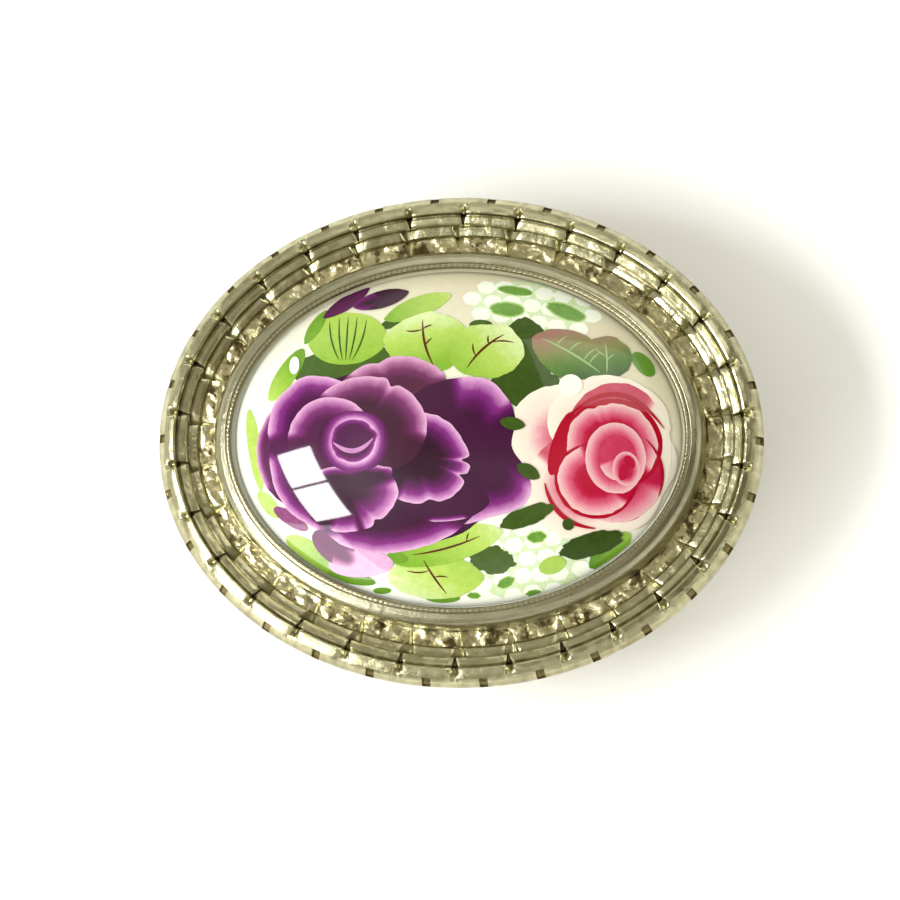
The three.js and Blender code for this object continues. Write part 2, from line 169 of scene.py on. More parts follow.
@dataclass(frozen=True)
class Oval:
    """The lid's outline, an ellipse walked at even speed."""

    half_length: float
    half_width: float

    def angle(self, u: np.ndarray) -> np.ndarray:
        """The ellipse's angle at share u of the way round, read from its summed arc length.

        Args:
            u: share of the way round.

        Returns:
            The angle, in radians.
        """
        turn = np.linspace(0, 2 * np.pi, 4097)
        speed = np.hypot(self.half_length * np.sin(turn), self.half_width * np.cos(turn))
        length = np.concatenate([[0], np.cumsum((speed[1:] + speed[:-1]) / 2)])
        return np.interp(np.mod(u, 1), length / length[-1], turn)

    @property
    def perimeter(self) -> float:
        """The outline's length, by Ramanujan's formula."""
        a, b = self.half_length, self.half_width
        return math.pi * (3 * (a + b) - math.sqrt((3 * a + b) * (a + 3 * b)))

    def place(self, u: np.ndarray, inset: np.ndarray, z: np.ndarray) -> np.ndarray:
        """Points at share u, moved inwards square to the outline by inset, at height z.

        Args:
            u: share of the way round.
            inset: distance inwards.
            z: height.

        Returns:
            An array with a last axis of x, y and z.
        """
        turn = self.angle(u)
        x, y = self.half_length * np.cos(turn), self.half_width * np.sin(turn)
        nx, ny = self.half_width * np.cos(turn), self.half_length * np.sin(turn)
        size = np.hypot(nx, ny)
        return np.stack(np.broadcast_arrays(x - inset * nx / size, y - inset * ny / size, z), -1)


# ---- shells ------------------------------------------------------------------------------------


@dataclass
class Shell:
    """A closed surface: its points, its faces and a number for each point under each name."""

    points: np.ndarray
    quads: np.ndarray
    triangles: np.ndarray
    numbers: dict[str, np.ndarray] = field(default_factory=dict)

    @staticmethod
    def from_grid(
        grid: np.ndarray,
        wrap_rows: bool = False,
        wrap_columns: bool = False,
        numbers: dict[str, np.ndarray] | None = None,
    ) -> "Shell":
        """A grid of points as quads. A direction that doesn't wrap is closed at both its ends by
        a fan of triangles about the mean of the end's points.

        Args:
            grid: points by row and column.
            wrap_rows: whether the last row joins the first.
            wrap_columns: whether the last column joins the first.
            numbers: arrays by row and column to keep with the points.

        Returns:
            The closed shell, its faces turned outwards.
        """
        rows, columns = grid.shape[:2]
        index = np.arange(rows * columns).reshape(rows, columns)
        tall = np.vstack([index, index[:1]]) if wrap_rows else index
        full = np.hstack([tall, tall[:, :1]]) if wrap_columns else tall
        quads = np.stack([full[:-1, :-1], full[:-1, 1:], full[1:, 1:], full[1:, :-1]], -1)
        flat = grid.reshape(-1, 3)
        ends = []
        if not wrap_rows:
            ends += [full[0], full[-1][::-1]]
        if not wrap_columns:
            ends += [full[:, 0][::-1], full[:, -1]]
        hubs = [flat[end].mean(0, keepdims=True) for end in ends]
        fans = [
            np.stack([np.full(len(end) - 1, len(flat) + k), end[1:], end[:-1]], -1)
            for k, end in enumerate(ends)
        ]
        kept = {}
        for label, values in (numbers or {}).items():
            even = values.reshape(-1)
            kept[label] = np.concatenate([even] + [even[end].mean(keepdims=True) for end in ends])
        triangles = np.vstack(fans) if fans else np.empty((0, 3), int)
        return Shell(np.vstack([flat, *hubs]), quads.reshape(-1, 4), triangles, kept).outward()

    def outward(self) -> "Shell":
        """Turns the faces so that the volume they bound is positive.

        Returns:
            The shell, with every face reversed if its signed volume was negative.
        """
        halves = np.vstack([self.quads[:, [0, 1, 2]], self.quads[:, [0, 2, 3]], self.triangles])
        corner = (self.points - self.points.mean(0))[halves]
        volume = np.einsum("ij,ij->", corner[:, 0], np.cross(corner[:, 1], corner[:, 2]))
        if volume > 0:
            return self
        return Shell(self.points, self.quads[:, ::-1], self.triangles[:, ::-1], self.numbers)

    @staticmethod
    def joined(shells: list["Shell"]) -> "Shell":
        """Puts several shells into one, each still closed by itself.

        Args:
            shells: the shells.

        Returns:
            One shell. A named number that one of them lacks is 0 there.
        """
        names = sorted({name for s in shells for name in s.numbers})
        starts = np.cumsum([0] + [len(s.points) for s in shells])
        return Shell(
            np.vstack([s.points for s in shells]),
            np.vstack([s.quads + start for s, start in zip(shells, starts)]),
            np.vstack([s.triangles + start for s, start in zip(shells, starts)]),
            {n: np.concatenate([s.numbers.get(n, np.zeros(len(s.points))) for s in shells]) for n in names},
        )


def make_piece(
    name: str,
    shell: Shell,
    body: Body,
    material: bpy.types.Material,
    replaces: tuple[str, ...] = (),
    crease: float = 38.0,
) -> bpy.types.Object:
    """Puts a shell into Blender as a piece of the box.

    Args:
        name: the piece's name.
        shell: its surface, in millimetres.
        body: the body that it rides on.
        material: its finish.
        replaces: CAD nodes that it stands for.
        crease: edges that turn by more degrees than this are sharp.

    Returns:
        The new object.
    """
    mesh = bpy.data.meshes.new(name)
    mesh.from_pydata((shell.points * MM).tolist(), [], shell.quads.tolist() + shell.triangles.tolist())
    for label, values in shell.numbers.items():
        attribute = mesh.attributes.new(label, "FLOAT", "POINT")
        attribute.data.foreach_set("value", values.astype(np.float32))
    mesh.polygons.foreach_set("use_smooth", np.ones(len(mesh.polygons), bool))
    mesh.set_sharp_from_angle(angle=math.radians(crease))
    mesh.update()
    piece = bpy.data.objects.new(name, mesh)
    bpy.context.scene.collection.objects.link(piece)
    mesh.materials.append(material)
    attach(piece, body.value)
    if replaces:
        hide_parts(*replaces)
    LOG.info("%s: %d faces, on the %s", name, len(mesh.polygons), body.value)
    return piece


def ring(oval: Oval, profile: np.ndarray, columns: int = 360) -> Shell:
    """A closed profile of (inset, z) points carried all the way round the oval.

    Args:
        oval: the outline.
        profile: the profile's points.
        columns: steps round the oval.

    Returns:
        The ring.
    """
    u = np.arange(columns)[None, :] / columns
    grid = oval.place(u, profile[:, :1], profile[:, 1:])
    return Shell.from_grid(grid, wrap_rows=True, wrap_columns=True)


def strip(oval: Oval, profile: np.ndarray, x_range: Point, front: bool) -> Shell:
    """A closed profile of (inset, z) points carried along part of the oval, with closed ends.

    Args:
        oval: the outline.
        profile: the profile's points.
        x_range: where the strip starts and ends along X, on the outline.
        front: whether it is on the -Y side.

    Returns:
        The strip.
    """
    front_share, back_share, steps = 0.75, 0.25, 48
    middle, way = (front_share, 1) if front else (back_share, -1)
    shares = np.array(sorted(x_range)) / oval.perimeter
    u = middle + way * np.linspace(shares[0], shares[1], steps)[None, :]
    grid = oval.place(u, profile[:, :1], profile[:, 1:])
    return Shell.from_grid(grid, wrap_rows=True)


def shrunk(edge: np.ndarray, share: float, z: float) -> np.ndarray:
    """A ring of points drawn in towards the middle and laid flat.

    Args:
        edge: the ring's points.
        share: the new ring's size as a share of the old.
        z: its height.

    Returns:
        The new ring's points.
    """
    return np.stack([edge[:, 0] * share, edge[:, 1] * share, np.full(len(edge), z)], 1)


def plate(oval: Oval, inset: float, low: float, high: float, columns: int = 240) -> Shell:
    """A flat oval plate with rounded edges: rings that shrink to a pole above and below.

    Args:
        oval: the outline.
        inset: the plate's edge.
        low: height of its underside.
        high: height of its top.
        columns: steps round it.

    Returns:
        The plate.
    """
    section_width = 4
    section = rounded([(0, low), (0, high), (section_width, high), (section_width, low)], 0.15, 5)
    edge = section[section[:, 0] < section_width / 2]
    edge = edge[np.argsort(edge[:, 1], kind="stable")]
    shares = np.array([0.08, 0.4, 0.75, 0.93])
    u = np.arange(columns) / columns
    rim = [oval.place(u, inset + d, z) for d, z in edge]
    under = [shrunk(rim[0], share, low) for share in shares]
    over = [shrunk(rim[-1], share, high) for share in shares[::-1]]
    rows = under + rim + over
    return Shell.from_grid(np.array(rows), wrap_columns=True)


def turned_along_x(profile: np.ndarray, centre: Point, closed: bool, steps: int = 40) -> Shell:
    """A profile of (x, radius) points turned about a line along X.

    Args:
        profile: the profile's points.
        centre: the line's y and z.
        closed: whether the profile closes on itself, as a tube's does.
        steps: steps round the line.

    Returns:
        The turned shell. An open profile is closed by a fan at each end.
    """
    turn = np.linspace(0, 2 * np.pi, steps, endpoint=False)[None, :]
    x, r = profile[:, :1] + 0 * turn, profile[:, 1:]
    grid = np.stack([x, centre[0] + r * np.cos(turn), centre[1] + r * np.sin(turn)], -1)
    return Shell.from_grid(grid, wrap_rows=closed, wrap_columns=True)


def bar(x: Point, y: Point, z: Point, radius: float = 0.12) -> Shell:
    """A bar along X with a rounded section and closed ends.

    Args:
        x: where it starts and ends.
        y: the two sides of its section.
        z: the bottom and top of its section.
        radius: how far its long edges are rounded.

    Returns:
        The bar.
    """
    section = rounded([(y[0], z[0]), (y[1], z[0]), (y[1], z[1]), (y[0], z[1])], radius)
    along = np.linspace(x[0], x[1], 24)[None, :]
    sides = np.broadcast_arrays(along, section[:, :1], section[:, 1:])
    return Shell.from_grid(np.stack(sides, -1), wrap_rows=True)


# ---- finishes ----------------------------------------------------------------------------------


class NodeBench:
    """A material's node tree, with short ways to add and join its nodes."""

    def __init__(self, name: str) -> None:
        """Makes the material and keeps its shader.

        Args:
            name: the material's name.
        """
        self.material = bpy.data.materials.new(name)
        self.material.use_nodes = True
        self.tree = self.material.node_tree
        self.shader = self.tree.nodes["Principled BSDF"]

    def add(self, kind: str, **sockets: object) -> bpy.types.Node:
        """Adds a node and sets or joins its inputs.

        Args:
            kind: Blender's name for the node.
            sockets: input name, with _ for a space, to a value or to another node's output.

        Returns:
            The node.
        """
        node = self.tree.nodes.new(kind)
        for label, value in sockets.items():
            self.put(node.inputs[label.replace("_", " ")], value)
        return node

    def put(self, socket: bpy.types.NodeSocket, value: object) -> None:
        """Joins an output to a socket, or sets the socket to a plain value.

        Args:
            socket: the input.
            value: an output to join to it, or its new value.
        """
        if isinstance(value, bpy.types.NodeSocket):
            self.tree.links.new(value, socket)
        else:
            socket.default_value = value

    def attribute(self, name: str) -> bpy.types.NodeSocket:
        """The number kept with the piece's points under that name.

        Args:
            name: the number's name.

        Returns:
            The output that carries it.
        """
        node = self.tree.nodes.new("ShaderNodeAttribute")
        node.attribute_name = name
        return node.outputs["Fac"]

    def place(self) -> bpy.types.NodeSocket:
        """The piece's own Object coordinates."""
        return self.tree.nodes.new("ShaderNodeTexCoord").outputs["Object"]

    def noise(self, scale: float, detail: float = 3.0, rough: float = 0.55) -> bpy.types.NodeSocket:
        """Noise on Object coordinates.

        Args:
            scale: cells to the metre.
            detail: how many finer octaves are added.
            rough: how strong each octave is beside the last.

        Returns:
            The noise, from 0 to 1.
        """
        node = self.add(
            "ShaderNodeTexNoise", Vector=self.place(), Scale=scale, Detail=detail, Roughness=rough,
        )
        return node.outputs[0]

    def math(self, operation: str, a: object, b: object = 0.0, clamp: bool = False) -> bpy.types.NodeSocket:
        """One sum of two numbers.

        Args:
            operation: Blender's name for the sum.
            a: first number, or an output.
            b: second number, or an output.
            clamp: whether the result is kept from 0 to 1.

        Returns:
            The result.
        """
        node = self.tree.nodes.new("ShaderNodeMath")
        node.operation = operation
        node.use_clamp = clamp
        self.put(node.inputs[0], a)
        self.put(node.inputs[1], b)
        return node.outputs[0]

    def ramp(self, share: object, stops: tuple[tuple[float, Colour], ...]) -> bpy.types.NodeSocket:
        """A run of colours read at a share from 0 to 1.

        Args:
            share: where to read.
            stops: place and linear colour of each stop.

        Returns:
            The colour.
        """
        node = self.add("ShaderNodeValToRGB", Fac=share)
        elements = node.color_ramp.elements
        while len(elements) < len(stops):
            elements.new(0.5)
        for element, (at, colour) in zip(elements, stops):
            element.position = at
            element.color = (*colour, 1)
        return node.outputs[0]

    def mix(self, share: object, a: object, b: object) -> bpy.types.NodeSocket:
        """Colour a turning into colour b.

        Args:
            share: how much of b there is, from 0 to 1.
            a: first colour, or an output.
            b: second colour, or an output.

        Returns:
            The mixed colour.
        """
        node = self.tree.nodes.new("ShaderNodeMix")
        node.data_type = "RGBA"
        factor, first, second = (node.inputs[k] for k in (0, 6, 7))
        for socket, value in zip((factor, first, second), (share, a, b)):
            self.put(socket, (*value, 1) if isinstance(value, tuple) else value)
        return node.outputs[2]

    def bump(self, height: object, distance: float, strength: float) -> None:
        """Roughens the surface by a height.

        Args:
            height: the output that carries the height, from 0 to 1.
            distance: what 1 stands for, in metres.
            strength: how much of it shows.
        """
        node = self.add("ShaderNodeBump", Height=height, Distance=distance, Strength=strength)
        self.put(self.shader.inputs["Normal"], node.outputs[0])

    def finish(self, **sockets: object) -> bpy.types.Material:
        """Sets the shader's own inputs.

        Args:
            sockets: input name, with _ for a space, to a value or to another node's output.

        Returns:
            The material.
        """
        for label, value in sockets.items():
            self.put(self.shader.inputs[label.replace("_", " ")], value)
        return self.material


@dataclass(frozen=True)
class ClayFinish:
    """Glazed polymer clay. Its colour is read along a ramp by how far a point is from the pale
    edge of its petal or leaf, and a second ramp takes over where the piece is warmer."""

    name: str
    stops: tuple[tuple[float, Colour], ...]
    warm_stops: tuple[tuple[float, Colour], ...] = ()
    mottle: float = 0.10
    roughness: float = 0.42

    def build(self) -> bpy.types.Material:
        """Ramp colours under a clear coat, with the clay's faint mottling.

        Returns:
            The material.
        """
        bench = NodeBench(self.name)
        cloud = bench.math("SUBTRACT", bench.noise(1400.0), 0.5)
        speck = bench.math("SUBTRACT", bench.noise(9000.0, 1.0), 0.5)
        cloud = bench.math("MULTIPLY", cloud, self.mottle)
        speck = bench.math("MULTIPLY", speck, self.mottle)
        blur = bench.math("ADD", cloud, speck)
        share = bench.math("ADD", bench.attribute("tone"), blur, clamp=True)
        colour = bench.ramp(share, self.stops)
        if self.warm_stops:
            colour = bench.mix(bench.attribute("warmth"), colour, bench.ramp(share, self.warm_stops))
        bench.bump(bench.noise(500.0, 1.0), 0.00002, 0.25)
        return bench.finish(
            Base_Color=colour, Roughness=self.roughness, IOR=1.5, Coat_Weight=1.0,
            Coat_Roughness=0.04, Coat_IOR=1.5, Specular_IOR_Level=0.05,
        )


@dataclass(frozen=True)
class MetalFinish:
    """Metal with darker tarnish in its hollows and painted shade where the piece asks for it, painted
    glitter of dark and bright reflections where the piece asks for it, and fine grain."""

    name: str
    bright: Colour
    tarnish_and_shade: Colour
    patch: Colour
    painted_glitter_dark: Colour
    roughness: float = 0.3
    spread: float = 0.16
    grain: float = 4200.0
    grain_depth: float = 0.00005

    def build(self) -> bpy.types.Material:
        """Bright metal, darkened by the piece's number for tarnish and painted shade, and flecked with
        painted glitter where the piece's glitter number asks.

        Returns:
            The material.
        """
        bench = NodeBench(self.name)
        fine, broad = bench.noise(self.grain), bench.noise(self.grain / 9, 4.0, 0.65)
        stain = bench.math("MULTIPLY", bench.math("SUBTRACT", broad, 0.42), 1.6, clamp=True)
        # Tarnish in the piece's hollows and broad blotches; on the bezel's inner slope the same number
        # paints shade.
        dirt_and_shade = bench.math("ADD", bench.attribute("cavity"), bench.math("MULTIPLY", stain, 0.45), clamp=True)
        ground = bench.mix(dirt_and_shade, self.bright, self.tarnish_and_shade)
        # Painted glitter: dark and bright flecks stand in for reflections in hammered facets.
        painted_glitter_flecks = bench.ramp(bench.noise(520.0, 4.0, 0.65), (
            (0.33, self.painted_glitter_dark), (0.41, self.tarnish_and_shade), (0.48, self.patch), (0.66, self.bright),
        ))
        colour = bench.mix(bench.attribute("patch"), ground, painted_glitter_flecks)
        uneven = bench.math("MULTIPLY", broad, self.spread)
        rough = bench.math("ADD", self.roughness - self.spread / 2, uneven)
        bench.bump(fine, self.grain_depth, 0.6)
        return bench.finish(Base_Color=colour, Roughness=rough, Metallic=1.0)


@dataclass(frozen=True)
class MouldedFinish:
    """Plain moulded plastic, foam or unfired clay: two close shades and a surface grain."""

    name: str
    light: Colour
    shade: Colour
    roughness: float
    grain: float
    grain_depth: float
    coat: float = 0.0

    def build(self) -> bpy.types.Material:
        """One shade drifting into the other, over a fine grain.

        Returns:
            The material.
        """
        bench = NodeBench(self.name)
        colour = bench.mix(bench.noise(260.0, 4.0), self.light, self.shade)
        bench.bump(bench.noise(self.grain, 2.0), self.grain_depth, 0.5)
        return bench.finish(
            Base_Color=colour, Roughness=self.roughness, Coat_Weight=self.coat, Coat_Roughness=0.1,
        )


PURPLE_STOPS = (
    (0.0, (0.66, 0.40, 0.60)), (0.14, (0.46, 0.18, 0.42)), (0.32, (0.20, 0.024, 0.19)),
    (0.55, (0.095, 0.008, 0.085)), (0.8, (0.045, 0.006, 0.034)), (1.0, (0.02, 0.004, 0.013)),
)
MAUVE_STOPS = (
    (0.0, (0.62, 0.36, 0.52)), (0.18, (0.36, 0.13, 0.27)), (0.38, (0.15, 0.03, 0.10)),
    (0.65, (0.075, 0.015, 0.045)), (1.0, (0.03, 0.006, 0.014)),
)
PINK_STOPS = (
    (0.0, (0.74, 0.56, 0.52)), (0.2, (0.70, 0.34, 0.38)), (0.45, (0.60, 0.11, 0.19)),
    (0.72, (0.44, 0.010, 0.055)), (1.0, (0.36, 0.0, 0.018)),
)
CREAM_PINK_STOPS = (
    (0.0, (0.78, 0.74, 0.62)), (0.35, (0.78, 0.64, 0.56)), (0.6, (0.64, 0.24, 0.30)),
    (0.85, (0.48, 0.05, 0.10)), (1.0, (0.40, 0.002, 0.02)),
)
LEAF_STOPS = (
    (0.0, (0.72, 0.80, 0.48)), (0.3, (0.40, 0.57, 0.10)), (0.6, (0.21, 0.40, 0.035)),
    (1.0, (0.08, 0.22, 0.014)),
)
DARK_LEAF_STOPS = (
    (0.0, (0.30, 0.155, 0.115)), (0.3, (0.19, 0.20, 0.05)), (0.6, (0.06, 0.17, 0.012)),
    (1.0, (0.03, 0.07, 0.010)),
)
SHADE_STOPS = ((0.0, (0.07, 0.14, 0.025)), (0.5, (0.04, 0.08, 0.010)), (1.0, (0.022, 0.04, 0.006)))
CREAM_STOPS = ((0.0, (0.80, 0.82, 0.74)), (0.5, (0.74, 0.74, 0.60)), (1.0, (0.64, 0.60, 0.42)))
BLOSSOM_STOPS = (
    (0.0, (0.84, 0.88, 0.78)), (0.45, (0.74, 0.82, 0.60)), (0.7, (0.32, 0.52, 0.14)),
    (1.0, (0.06, 0.20, 0.008)),
)
VEIN_STOPS = ((0.0, (0.13, 0.03, 0.012)), (1.0, (0.05, 0.008, 0.006)))
PALE_VEIN_STOPS = ((0.0, (0.38, 0.50, 0.22)), (1.0, (0.22, 0.36, 0.09)))


class Finishes:
    """Every finish of the box, made once and shared by its pieces."""

    def __init__(self) -> None:
        """Builds each material."""
        self.purple = ClayFinish("purple_clay", PURPLE_STOPS, MAUVE_STOPS).build()
        self.pink = ClayFinish("pink_clay", PINK_STOPS, CREAM_PINK_STOPS).build()
        self.leaf = ClayFinish("leaf_clay", LEAF_STOPS, mottle=0.2).build()
        self.dark_leaf = ClayFinish("dark_leaf_clay", DARK_LEAF_STOPS, mottle=0.3).build()
        self.shade = ClayFinish("shade_clay", SHADE_STOPS, mottle=0.5).build()
        self.cream = ClayFinish("cream_clay", CREAM_STOPS, mottle=0.2).build()
        self.blossom = ClayFinish("blossom_clay", BLOSSOM_STOPS, mottle=0.15).build()
        self.vein = ClayFinish("vein_clay", VEIN_STOPS).build()
        self.pale_vein = ClayFinish("pale_vein_clay", PALE_VEIN_STOPS).build()
        self.cast = MetalFinish(
            "cast_metal", (0.63, 0.61, 0.39), (0.20, 0.165, 0.07), (0.88, 0.80, 0.48),
            (0.13, 0.10, 0.05), 0.30, 0.2,
        ).build()
        self.bezel = MetalFinish(
            "bezel_metal", (0.56, 0.54, 0.38), (0.22, 0.19, 0.09), (0.6, 0.5, 0.3),
            (0.2, 0.15, 0.08), 0.30, 0.16, 5000.0, 0.00004,
        ).build()
        self.steel = MetalFinish(
            "pin_steel", (0.62, 0.63, 0.64), (0.32, 0.30, 0.27), (0.6, 0.6, 0.6),
            (0.3, 0.3, 0.3), 0.28, 0.12,
        ).build()
        self.brass = MetalFinish(
            "spring_brass", (0.78, 0.60, 0.27), (0.36, 0.24, 0.09), (0.7, 0.5, 0.2),
            (0.3, 0.2, 0.1), 0.32, 0.14,
        ).build()
        self.mirror = MetalFinish(
            "mirror_silver", (0.86, 0.88, 0.89), (0.78, 0.80, 0.81), (0.8, 0.8, 0.8),
            (0.7, 0.7, 0.7), 0.04, 0.03, 1500.0, 0.000001,
        ).build()
        self.plastic = MouldedFinish(
            "tray_plastic", (0.82, 0.80, 0.72), (0.76, 0.74, 0.66), 0.36, 4000.0, 0.00001, 0.2,
        ).build()
        self.foam = MouldedFinish(
            "foam", (0.11, 0.12, 0.125), (0.07, 0.075, 0.08), 0.9, 3500.0, 0.0001,
        ).build()
        self.blank = MouldedFinish(
            "blank_clay", (0.60, 0.57, 0.46), (0.52, 0.49, 0.39), 0.55, 2500.0, 0.00003,
        ).build()


# ---- lid border --------------------------------------------------------------------------------


@dataclass(frozen=True)
class BorderGrid:
    """Where the border's points stand before they are cut, as arrays by row and column."""

    inset: np.ndarray
    z: np.ndarray
    top: np.ndarray                # rows of the upper side
    lower: np.ndarray              # rows of the third course and of the channel
    fall: np.ndarray               # 1 at the lower wedge's mouth and 0 at its apex
    half: np.ndarray               # half width of the groove or wedge in each row
    within: np.ndarray             # distance from the pitch's middle, as a share of the pitch
    across: np.ndarray             # place across the pitch, once moved to the walls
    block: np.ndarray              # the pitch's number
    u: np.ndarray


@dataclass
class LidBorder:
    """The cast border, its hammered channel, and the plate and skirt under it."""

    oval: Oval
    finishes: Finishes
    pitches: int = 30
    groove_start: float = 0.25
    lower_lean: float = 0.45       # how far the lower wedge stands anticlockwise of the upper
    wedge_depth: float = 0.6
    wedge_valley: float = 0.74     # where a V is deepest, as a share of its width
    wedge_mouth: float = 2.64
    wedge_apex: float = 4.88
    wedge_half: float = 0.76
    groove_depth: float = 0.65
    groove_valley: float = 0.45
    groove_top: float = 0.95
    groove_fade: float = 0.25      # the groove deepens over this much on both sides of its top
    groove_half: float = 0.50
    groove_wall: float = 0.15      # the column, as a share of a pitch, that follows its wall
    notch_depth: float = 0.8
    notch_half: float = 0.35
    notch_reach: float = 0.62
    notch_wall: float = 0.42       # the column that follows the notch's wall
    notch_floor: float = 12.74     # no cut in the top goes below this near the rim
    channel_z: float = 12.9
    plate_low: float = 12.0
    least_plate: float = 0.25      # metal left above the plate's underside by any cut
    hammer_cell: float = 0.7
    hammer_depth: float = 0.10
    first_course: float = 1.64     # where the first course of blocks ends
    second_course: float = 2.6
    blocks_end: float = 3.5
    channel: tuple[Point, Point] = ((3.52, 3.6), (4.82, 4.9))  # where its floor starts and ends
    wander: float = 0.10           # spread of the grooves' own leans
    block_lift: float = 0.09
    block_tilt: float = 0.07
    bevel_depth: float = 0.07
    bevel_width: float = 0.12

    # The border from its rim inwards, as (inset, z) with the number of rows up to each point.
    TOP = (
        (0.00, 12.70, 1), (0.00, 13.00, 2), (0.10, 13.36, 2), (0.35, 13.78, 3), (0.60, 14.03, 2),
        (0.66, 14.08, 1), (1.05, 14.34, 3), (1.42, 14.47, 3), (1.56, 14.42, 2), (1.62, 14.22, 2),
        (1.66, 13.86, 2), (1.78, 13.84, 1), (1.82, 14.06, 2), (1.95, 14.14, 2), (2.40, 14.04, 3),
        (2.56, 13.90, 2), (2.62, 13.46, 2), (2.70, 13.42, 1), (3.00, 13.38, 2), (3.36, 13.26, 3),
        (3.48, 13.12, 2), (3.54, 12.90, 2), (4.84, 12.90, 14), (4.92, 12.90, 1), (5.50, 12.90, 2),
    )
    UNDER = (
        (5.50, 12.00, 2), (4.10, 12.00, 3), (4.05, 11.95, 1), (4.05, 10.86, 3), (3.99, 10.80, 1),
        (2.81, 10.80, 2), (2.75, 10.86, 1), (2.75, 12.36, 3), (2.70, 12.40, 1), (0.34, 12.40, 4),
        (0.10, 12.52, 1),
    )

    # Tarnish along the steps between courses, as (inset, width, strength).
    STEPS = ((1.72, 0.08, 1.0), (2.64, 0.07, 0.8), (3.55, 0.08, 0.6))

    def rows(self) -> np.ndarray:
        """The whole closed profile, each stretch divided evenly into its rows.

        Returns:
            An inset and a height for each row.
        """
        corners = [*self.TOP, *self.UNDER]
        found = [np.array([corners[0][:2]])]
        for before, after in zip(corners, corners[1:]):
            found.append(np.linspace(before[:2], after[:2], after[2] + 1)[1:])
        return np.vstack(found)

    def columns(self) -> np.ndarray:
        """Where columns stand in one pitch, from -0.5 to 0.5 about its groove.

        Returns:
            The places, with close pairs at the walls of the groove (0.15) and the notch (0.42).
        """
        inner = np.linspace(0, 0.144, 6)[1:]
        between = np.concatenate([[0.154], np.linspace(0.18, 0.39, 6), [0.416]])
        outer = np.array([0.424, 0.46])
        right = np.concatenate([inner, between, outer])
        return np.concatenate([[-0.5], -right[::-1], [0.0], right])

    def cut(self, s: np.ndarray, half: np.ndarray, valley: float) -> np.ndarray:
        """Depth of a V: it rises evenly from each wall to 1 at the valley.

        Args:
            s: place across the V.
            half: its half width there.
            valley: where it is deepest, as a share of the way across.

        Returns:
            The depth, as a share of the full depth.
        """
        t = np.clip((s / np.maximum(half, 1e-6) + 1) / 2, 0, 1)
        return np.minimum(t / valley, (1 - t) / (1 - valley))

    def layout(self) -> BorderGrid:
        """Sets out the rows and columns.

        Columns are moved so that they run along the walls of the wedges: in each row the place
        across a pitch is read through a broken line that sends groove_wall to the wedge's half
        width and notch_wall to the notch's wall. A groove leans most at its own middle and not
        at all half a pitch away.

        Returns:
            The grid.
        """
        rows, local = self.rows(), self.columns()
        inset = rows[:, :1]
        pitch = self.oval.perimeter / self.pitches
        top = np.arange(len(rows))[:, None] < sum(n for _, _, n in self.TOP)
        lower = inset > self.wedge_mouth - 0.01
        fall = (self.wedge_apex - inset) / (self.wedge_apex - self.wedge_mouth)
        rise = (inset - self.groove_top) / (self.wedge_mouth - self.groove_top)
        lower_half = self.wedge_half * np.clip(fall, 0.03, 1)
        upper_half = self.groove_half * np.clip(1 - 0.9 * rise, 0.08, 1)
        half = np.where(lower, lower_half, upper_half)
        knots = (-0.5, -self.notch_wall, -self.groove_wall, self.groove_wall, self.notch_wall, 0.5)
        edge = 0.5 - self.notch_half / pitch
        moved = []
        for wall in half[:, 0] / pitch:
            moved.append(np.interp(local, knots, (-0.5, -edge, -wall, wall, edge, 0.5)) * pitch)
        across = np.tile(np.array(moved), (1, self.pitches))
        block = np.arange(self.pitches)
        number = np.repeat(block, len(local))[None, :]
        jitter = self.wander * (lattice(block, block * 0, 3)[None, :] - 0.5)
        shift = np.where(lower & top, self.lower_lean, 0.0)
        lean = shift + np.repeat(jitter, len(local), axis=1)
        bend = 1 - np.abs(across) / (pitch / 2)
        u = self.groove_start + number / self.pitches + (across + lean * bend) / self.oval.perimeter
        within = np.abs(np.tile(local, self.pitches))[None, :]
        return BorderGrid(inset, rows[:, 1:], top, lower, fall, half, within, across, number, u)

    def cuts(self, at: BorderGrid) -> tuple[np.ndarray, np.ndarray]:
        """The V of the groove between the first two courses' blocks, the V of the wedge between
        the third's, and the notch at the rim.

        Args:
            at: the grid.

        Returns:
            How deep each point is cut, and whether it is in a notch.
        """
        wedge = self.cut(at.across, at.half, self.wedge_valley) * self.wedge_depth
        wedge = wedge * np.clip(at.fall, 0, 1) ** 0.8
        start, end = self.groove_top - self.groove_fade, self.groove_top + self.groove_fade
        groove = self.cut(at.across, at.half, self.groove_valley) * self.groove_depth
        groove = groove * smoothstep(start, end, at.inset)
        depth = np.where(at.lower, wedge, groove) * (at.within < self.groove_wall) * at.top
        notch = (at.within > self.notch_wall) & (at.inset < self.notch_reach) & at.top
        return depth + self.notch_depth * notch, notch

    def channel_floor(self, at: BorderGrid) -> np.ndarray:
        """How far each point is on the channel's floor and clear of the wedges, from 0 to 1.

        Args:
            at: the grid.

        Returns:
            The share.
        """
        start, end = self.channel
        floor = smoothstep(*start, at.inset) * (1 - smoothstep(*end, at.inset))
        return floor * np.ones_like(at.u) * ~(at.within < self.groove_wall)

